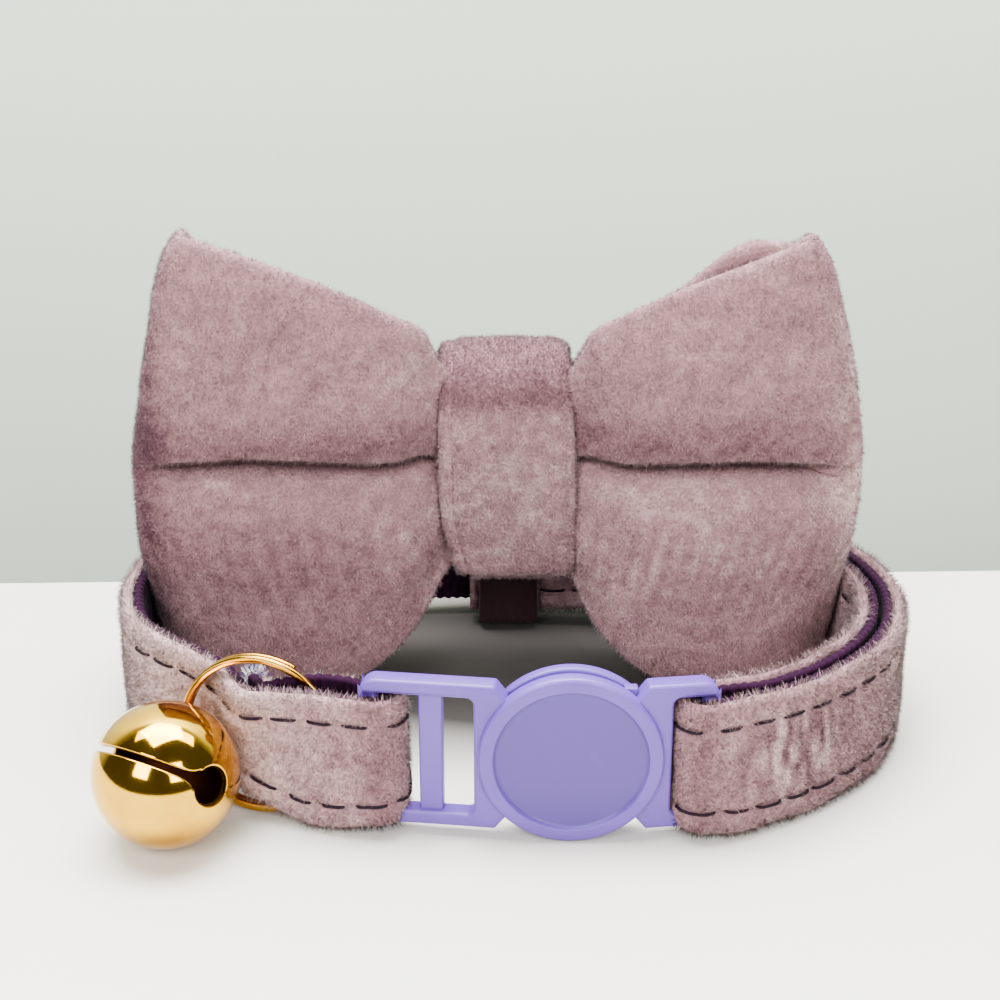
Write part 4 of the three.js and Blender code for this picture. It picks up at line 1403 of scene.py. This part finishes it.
# ------------------------------------------------------------------------------ bow
@dataclass
class Bow:
    """The padded bow: two loops of velvet with a level crease, gathered by the knot."""

    middle_x: float = 0.6
    cloth: float = 1.2
    outline: Array = table_of(
        # out from the knot's middle, top, bottom
        (0.0, 29.2, 13.0), (4.6, 29.5, 12.9), (6.0, 31.4, 11.2), (7.4, 34.2, 8.2),
        (9.5, 35.5, 5.4), (12.0, 36.9, 3.2), (15.5, 38.6, 1.7), (19.5, 40.2, 1.0),
        (24.0, 41.7, 0.8), (28.4, 42.6, 0.8), (33.5, 42.8, 0.8),
    )
    ends: Array = table_of(
        # up, reach of the left wing, reach of the right wing
        (-1.0, 28.8, 26.6), (-0.85, 30.9, 28.3), (-0.65, 31.9, 29.4), (-0.46, 32.5, 29.9),
        (-0.32, 32.9, 30.4), (-0.1, 33.1, 30.9), (0.1, 33.0, 31.0), (0.35, 32.0, 30.3),
        (0.6, 30.9, 29.2), (0.8, 29.9, 28.0), (0.92, 29.1, 27.2), (1.0, 28.1, 26.3),
    )
    puff: Array = table_of(
        # along the wing, depth of the puff, of the crease, of the edges
        (0.0, 3.6, 3.2, 3.4), (0.16, 3.8, 3.0, 3.4), (0.22, 4.9, 3.3, 3.8), (0.3, 6.3, 4.2, 4.6),
        (0.45, 7.0, 4.8, 5.0), (0.62, 6.7, 4.8, 4.6), (0.8, 5.5, 4.2, 3.8), (0.92, 4.0, 2.9, 2.8),
        (1.0, 2.0, 1.6, 1.7),
    )
    rise: Array = table_of(
        # from the crease to the edge: swell above, drop above, swell below
        (0.0, 0.0, 0.0, 0.0), (0.03, 0.36, -0.2, 0.2), (0.08, 0.66, -0.2, 0.42),
        (0.16, 0.88, -0.1, 0.7), (0.3, 1.0, 0.0, 0.96), (0.48, 0.97, 0.0, 1.0),
        (0.7, 0.74, 0.0, 0.82), (0.88, 0.38, 0.0, 0.46), (1.0, 0.0, 0.0, 0.0),
    )
    straighten: Array = table_of(
        # along the wing, lift of the crease
        (0.0, 0.0), (0.2, 0.7), (0.45, 1.6), (0.7, 1.0), (0.9, -0.5), (1.0, -0.8),
    )
    crease: float = 0.06
    waist_y: float = 30.0
    fold_y: float = 26.8

    def face(self, side: int, front: bool, along: Array, up: Array) -> Array:
        """The outer face of one sheet of a wing.

        A place is (out, y, z): out = reach(up) · along; z runs from the bottom to the top outline with
        up, and drops where the upper puff rolls over the crease; y is the middle plane less the depth,
        where depth = level + (puff - level) · swell, and level runs from the crease's depth to the edge's.

        Args:
            side: 1 for the right wing, -1 for the left.
            front: the front sheet, or the back one.
            along: from 0 at the waist to 1 at the fold.
            up: from -1 at the bottom to 1 at the top.

        Returns:
            Points of the shape of along by up.
        """
        reach = column(self.ends, 2 if side > 0 else 1, up)
        t_up = np.clip((up - self.crease) / (1 - self.crease), 0, 1)
        t_down = np.clip((self.crease - up) / (1 + self.crease), 0, 1)
        above = up > self.crease
        t = np.where(above, t_up, t_down)
        puff, crease, edge = (column(self.puff, k, along) for k in (1, 2, 3))
        swells = [column(self.rise, k, t) for k in (1, 3)]
        swell = np.where(above, *swells)
        swell = swell if front else np.sin(math.pi * np.clip(t, 0, 1)) ** 0.7
        level = crease + (edge - crease) * t
        depth = level + (puff - level) * swell
        notch = 3.0 * np.exp(-((t / 0.03) ** 2)) * ease(along, 0.1, 0.3) * (1 - ease(along, 0.82, 0.95))
        shut = 1.3 * ease(t, 0.55, 1.0) * ease(along, 0.1, 0.4) * (1 - ease(along, 0.9, 1.0))
        depth = depth - notch if front else depth * (0.8 + 0.2 * (1 - along)) * (1 - shut)
        fold = ease(along, 0.965, 1.0)
        y_mid = self.waist_y + (self.fold_y - self.waist_y) * ease(along, 0.0, 1.0)
        out = reach * along
        top = column(self.outline, 1, out)
        bottom = column(self.outline, 2, out)
        drop = np.where(above, column(self.rise, 2, t), 0.0)
        drop = drop * (1 - ease(along, 0.8, 1.0)) * (1 if front else 0)
        level_up = column(self.straighten, 1, along)
        z = bottom + (top - bottom) * (up + 1) / 2 + drop + level_up * np.exp(-((t / 0.4) ** 2))
        if not front:
            peak = 1.62 * bump_at(along, 0.77, 0.17) if side > 0 else 0.0
            lower = (1.7 - 1.7 * peak) * ease(up, -0.2, 1.0) * ease(along, 0.0, 0.3)
            lower = lower * (1 - 0.85 * ease(along, 0.88, 1.0))
            z = z - lower
        gather = np.sin(up * 9.0 + 0.8 * side) * 0.22 * bump_at(along, 0.24, 0.12)
        depth = depth + gather * (1 - fold)
        y = y_mid - depth if front else y_mid + depth
        return np.stack(np.broadcast_arrays(self.middle_x + side * out, y, z), axis=-1)

    def loops(self) -> Skin:
        """Both loops as one closed sheet, softly uneven like hand-stuffed cloth."""
        tip = 1 - 0.1 * np.cos(np.linspace(0, math.pi / 2, 12))[1:]
        along = np.concatenate([np.linspace(0, 0.16, 7)[:-1], np.linspace(0.16, 0.9, 52), tip])
        near = 0.29  # rows lie closer together this far from the crease
        up = np.concatenate(
            [
                np.linspace(-1, self.crease - near, 34)[:-1],
                self.crease - near * np.linspace(1, 0, 26)[:-1] ** 1.7,
                self.crease + near * np.linspace(0, 1, 26) ** 1.7,
                np.linspace(self.crease + near, 1, 30)[1:],
            ]
        )[:, None]
        a = along[None]
        back = a[:, ::-1][:, 1:]
        parts = [
            self.face(1, True, a, up),
            self.face(1, False, back, up),
            self.face(-1, False, a[:, 1:], up),
            self.face(-1, True, back[:, :-1], up),
        ]
        face = np.concatenate(parts, axis=1)
        normal = Skin.grid(face, wrap_columns=True).normals().reshape(face.shape)
        wrinkle = 0.16 * lattice_noise(face, 6.5, 31) + 0.07 * lattice_noise(face, 2.7, 32)
        return thick_band(face + normal * wrinkle[..., None], self.cloth, wrap_columns=True, rim=RIM)

    def tone(self, skin: Skin) -> Array:
        """The tone: nap patches, darker on the left fold and lighter on the right; painted shade above the
        crease and at the lower left;
        painted light just below the crease, on faces turned up and as a highlight by the top of the knot;
        lighter beside the knot low down and on the right wing's lower puff.
        """
        x, y, z = skin.points.T
        normal = skin.normals()
        tone = nap(skin.points, 41, 0.09, 0.12)
        front = ease(-y, -30.0, -26.0)
        tone -= 0.36 * bump_at(x, -31.6, 2.5) * front
        tone += 0.24 * bump_at(x, 31.0, 2.4)
        tone += 0.09 * bump_at(x, 18.0, 10.0) * bump_at(z, 14.0, 7.0)
        # Painted shade where the upper puff turns under above the crease, and painted light on the lower puff
        # just below it.
        tone -= 0.2 * bump_at(z, 25.2, 2.2) * front
        tone += 0.08 * bump_at(z, 20.6, 1.7) * front
        # Painted highlight on the left wing by the top of the knot.
        tone += 0.14 * bump_at(x, -6.5, 3.4) * bump_at(z, 31.5, 5.0)
        tone += 0.12 * bump_at(x, -7.5, 3.0) * bump_at(z, 13.0, 5.0)
        # Painted shade at the lower left of the left wing.
        tone -= 0.08 * bump_at(x, -24.0, 7.0) * bump_at(z, 9.0, 7.0)
        # Painted light on faces turned up.
        tone += 0.05 * ease(normal[:, 2], 0.3, 0.9)
        ribs = np.sin(TAU * x / 0.62) * ease(-z, -19.5, -16.0) * ease(z, 8.0, 12.0) * front
        return tone + 0.07 * ribs

    def build(self, shop: Workshop) -> None:
        skin = self.loops()
        skin.values["tone"] = self.tone(skin)
        outer = skin.values["outer"]
        y = skin.points[:, 1]
        hidden = (np.abs(skin.points[:, 0] - self.middle_x) < 4.8) * 1.0
        skin.values["pile"] = outer * (0.45 + 0.55 * ease(-y, -30.0, -27.0)) * (1 - hidden)
        loops = shop.make("bow_loops", skin, BOW_GROUND)
        pile = Pile(198000, length=0.46, lean=(0.0, 0.0, -0.5), scatter=0.4, seed=7).grow(skin)
        fuzz = shop.make("bow_pile", pile, BOW_PILE, flat=True)
        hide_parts("bow_body")


@dataclass
class Knot:
    """The velvet band round the bow's waist."""

    cloth: float = 1.3
    inside: tuple[float, float] = (30.5, 21.0)
    edges: Array = table_of(
        # height, left edge, right edge
        (10.0, -3.6, 6.5), (13.0, -4.1, 6.6), (17.0, -5.0, 6.55), (22.0, -5.2, 6.45),
        (28.0, -5.2, 6.2), (33.0, -5.1, 5.8),
    )
    loop: Array = table_of(
        # y, z of the band's outer face, from the bottom at the front, up and over
        (28.0, 11.0), (25.9, 11.2), (24.75, 12.1), (24.4, 13.6), (24.3, 17.0), (24.25, 21.0),
        (24.3, 25.0), (24.7, 27.5), (25.8, 30.4), (28.2, 31.9), (31.0, 32.1), (33.9, 30.4),
        (36.0, 28.6), (36.8, 26.0), (36.9, 21.5), (36.8, 17.0), (36.0, 13.2), (33.9, 11.0),
        (31.0, 10.3),
    )

    def band(self) -> Skin:
        """The band: its loop as a closed smooth curve, wide between its two edges, each edge turned in,
        with a shallow crown between them and faint creases across."""
        line = np.concatenate([self.loop, self.loop[:3]])
        line = np.concatenate([self.loop[-3:], line])
        run = np.concatenate([[0.0], np.cumsum(np.linalg.norm(np.diff(line, axis=0), axis=1))])
        at = np.linspace(run[3], run[3 + len(self.loop)], 221)[:-1]
        y, z = smooth_table(run, line[:, 0], at), smooth_table(run, line[:, 1], at)
        left = column(self.edges, 1, z)
        right = column(self.edges, 2, z)
        share = np.linspace(0.0, 1.0, 41)[:, None]
        x = left + 0.3 + (right - left - 0.6) * share
        ty, tz = np.gradient(y), np.gradient(z)
        size = np.hypot(ty, tz)
        ny, nz = -tz / size, ty / size
        edge = 0.35 * (bump_at(share, 0.0, 0.05) + bump_at(share, 1.0, 0.05))
        seam = 0.3 * bump_at(share, 0.075, 0.025)
        shape = np.stack(np.broadcast_arrays(x, y[None], z[None]), axis=-1)
        crease = 0.14 * lattice_noise(shape * np.array([0.6, 1.0, 1.0]), 2.4, 51)
        off = crease - edge - seam
        sign = np.sign((ny * (y - self.inside[0]) + nz * (z - self.inside[1])).sum())
        points = shape + sign * off[..., None] * np.stack([0 * ny, ny, nz], axis=-1)[None]
        if sign > 0:
            points = points[::-1]
        return thick_band(points, self.cloth, wrap_columns=True, rim=RIM)

    def tone(self, skin: Skin) -> Array:
        """Dark where the band turns over the top, light strokes on its front and a light foot."""
        x, y, z = skin.points.T
        tone = nap(skin.points, 61, 0.07, 0.09)
        tone -= 0.26 * ease(z, 26.6, 28.4) * ease(-y, -34.0, -30.0)
        strokes = lattice_noise(np.stack([x + 0.5 * z, y, (z - 0.5 * x) * 0.35], axis=1), 0.8, 71)
        tone += 0.1 * strokes * bump_at(z, 22.0, 5.5)
        tone += 0.14 * bump_at(z, 20.0, 7.0)
        return tone + 0.2 * (1 - ease(z, 11.2, 12.8))

    def stitches(self) -> Skin:
        """A line of small stitches down the left edge of the front."""
        height = np.arange(12.0, 31.0, 1.15)
        skins = []
        for z in height:
            left = float(column(self.edges, 1, z))
            at = z + np.linspace(0.0, 0.62, 6)
            front = np.interp(at, self.loop[2:11, 1], self.loop[2:11, 0])
            arch = front + 0.28 + 0.1 * np.linspace(-1, 1, 6) ** 2
            path = np.stack([np.full(6, left + 1.0), arch, at], axis=1)
            skins.append(wire_along(path, 0.085, 6))
        return Skin.joined(skins)

    def build(self, shop: Workshop) -> None:
        """Makes the band with its pile and stitches."""
        skin = self.band()
        skin.values["tone"] = self.tone(skin)
        left = smooth_table(self.edges[:, 0], self.edges[:, 1], skin.points[:, 2])
        seam = bump_at(skin.points[:, 0] - left, 1.0, 0.3)
        skin.values["pile"] = skin.values["outer"] * (1 - 0.6 * seam)
        band = shop.make("bow_knot_band", skin, BOW_GROUND)
        pile = Pile(70000, length=0.46, lean=(0.15, 0.0, -0.3), scatter=0.5, seed=9).grow(skin)
        fuzz = shop.make("bow_knot_pile", pile, BOW_PILE, flat=True)
        seam_line = shop.make("bow_knot_stitches", self.stitches(), KNOT_THREAD)
        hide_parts("bow_knot")


@dataclass
class Elastic:
    """The ribbed loop that holds the bow on the strap's back run."""

    middle_x: float = 0.8
    wide: float = 5.0
    thick: float = 0.6

    def build(self, shop: Workshop) -> None:
        """A rounded loop in y and z with fine ribs across its width."""
        low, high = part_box("bow_elastic")
        datum = np.array(shop.datum.origin)
        y0, y1 = low[1] / MM - datum[1] + 0.05, high[1] / MM - datum[1] - 0.05
        z0, z1 = low[2] / MM - datum[2] + 0.05, high[2] / MM - datum[2] - 0.05
        corners = [(y0, z0, 1.0), (y1, z0, 1.0), (y1, z1, 1.0), (y0, z1, 1.0)]
        loop = rounded_outline(corners, 9)
        share = np.linspace(-0.5, 0.5, 45)[:, None]
        x = self.middle_x + self.wide * share + 0 * loop[None, :, 0]
        middle = loop.mean(axis=0)
        away = unit(loop - middle)
        rib = 0.05 * np.cos(TAU * share * 10)
        y = loop[None, :, 0] + rib * away[None, :, 0]
        z = loop[None, :, 1] + rib * away[None, :, 1]
        face = np.stack(np.broadcast_arrays(x, y, z), axis=-1)
        outward = Skin.grid(face, wrap_columns=True).normals().reshape(face.shape)
        if (outward[..., 1] * away[None, :, 0]).sum() < 0:
            face = face[::-1]
        skin = thick_band(face, self.thick, wrap_columns=True)
        # Its finish is painted shade, dark like the velvet in shade there.
        band = shop.make("bow_elastic_loop", skin, ELASTIC_PAINTED_SHADE)
        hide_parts("bow_elastic")


# ------------------------------------------------------------------------------ studio
@dataclass
class Studio:
    """The table, the wall behind it, the lights and the camera."""

    datum: Datum
    eye: Triple = (0.0, -121.1, 80.5)
    pitch_deg: float = 22.8
    lens: float = 64.8
    table_back: float = 50.5
    wall_y: float = 170.0

    def board(self, name: str, rows: Array, finish: Finish, slope: float = 0.0) -> Any:
        """A backdrop sheet from a profile of (y, z) carried along x, and back by slope times x."""
        x = np.linspace(-HALF_STAGE, HALF_STAGE, 3)
        points = np.stack(
            [np.broadcast_to(x[None], (len(rows), 3)), rows[:, :1] + slope * x, rows[:, 1:] + 0 * x], axis=-1
        )
        mesh = bpy.data.meshes.new(name)
        skin = Skin.grid(points)
        quads = skin.quads[:, ::-1]
        mesh.from_pydata(self.datum.metres(skin.points).tolist(), [], quads.tolist())
        mesh.shade_smooth()
        mesh.materials.append(finish.material())
        made = bpy.data.objects.new(name, mesh)
        bpy.context.scene.collection.objects.link(made)
        return made

    def soft_light(self, name: str, at: Triple, to: Triple, size: tuple[float, float], watts: float) -> Any:
        """A rectangular softbox aimed at a point."""
        light = bpy.data.lights.new(name, "AREA")
        light.shape = "RECTANGLE"
        light.size, light.size_y = size[0] * MM, size[1] * MM
        light.energy = watts
        made = bpy.data.objects.new(name, light)
        place, target = (Vector(self.datum.metres(np.array(p))) for p in (at, to))
        made.location = place
        made.rotation_euler = (target - place).to_track_quat("-Z", "Y").to_euler()
        bpy.context.scene.collection.objects.link(made)
        return made

    def build(self) -> None:
        """Sets the stage."""
        turn = np.radians(np.linspace(0, 90, 9))
        edge = np.stack([self.table_back - 1.2 + 1.2 * np.sin(turn), -1.2 + 1.2 * np.cos(turn)], axis=1)
        table = np.concatenate([[[-HALF_STAGE, 0.0]], [[-200.0, 0.0]], edge, [[self.table_back, -80.0]]])
        wall = np.array([[self.wall_y, -500.0], [self.wall_y, 0.0], [self.wall_y, HALF_STAGE]])
        middle = tuple(float(v) for v in self.datum.metres(np.array([0.5, 31.0, 0.0])))
        board = Tabletop("pale table", TABLE_COLOUR, srgb(58, 54, 52), middle, (0.0295, 0.0225, 1.0))
        floor = self.board("table", table, board, 0.03)
        back = self.board("wall", wall, WALL_PAPER)
        lights = [
            self.soft_light("overhead", (-30, 70, 380), (0, 20, 10), (320, 260), 7.7),
            self.soft_light("front left", (-230, -330, 300), (0, 10, 15), (200, 260), 3.3),
            self.soft_light("front right", (190, -360, 260), (0, 10, 15), (180, 240), 2.8),
            self.soft_light("wall wash", (0, 60, 330), (0, 170, 60), (500, 120), 2.75),
        ]
        world = bpy.data.worlds.new("studio air")
        world.use_nodes = True
        background = world.node_tree.nodes["Background"]
        background.inputs[0].default_value = (0.93, 0.96, 1.0, 1.0)
        background.inputs[1].default_value = 0.12
        bpy.context.scene.world = world
        camera = bpy.data.cameras.new("camera")
        camera.lens = self.lens
        camera.sensor_width = 36.0
        camera.clip_start, camera.clip_end = 0.01, 10.0
        seen = bpy.data.objects.new("camera", camera)
        tilt = Matrix.Rotation(math.radians(90.0 - self.pitch_deg), 4, "X")
        seen.matrix_world = Matrix.Translation(Vector(self.datum.metres(np.array(self.eye)))) @ tilt
        bpy.context.scene.collection.objects.link(seen)
        bpy.context.scene.camera = seen


def main() -> None:
    """Builds the collar piece by piece, then the studio."""
    logging.basicConfig(level=logging.INFO, format="%(name)s: %(message)s")
    datum = Datum.from_buckle()
    shop = Workshop(datum)
    for assembly in (Strap(), Buckle(), Bell(), Elastic(), Bow(), Knot()):
        assembly.build(shop)
        LOG.info("built %s", type(assembly).__name__)
    Studio(datum).build()


if __name__ == "__main__":
    main()
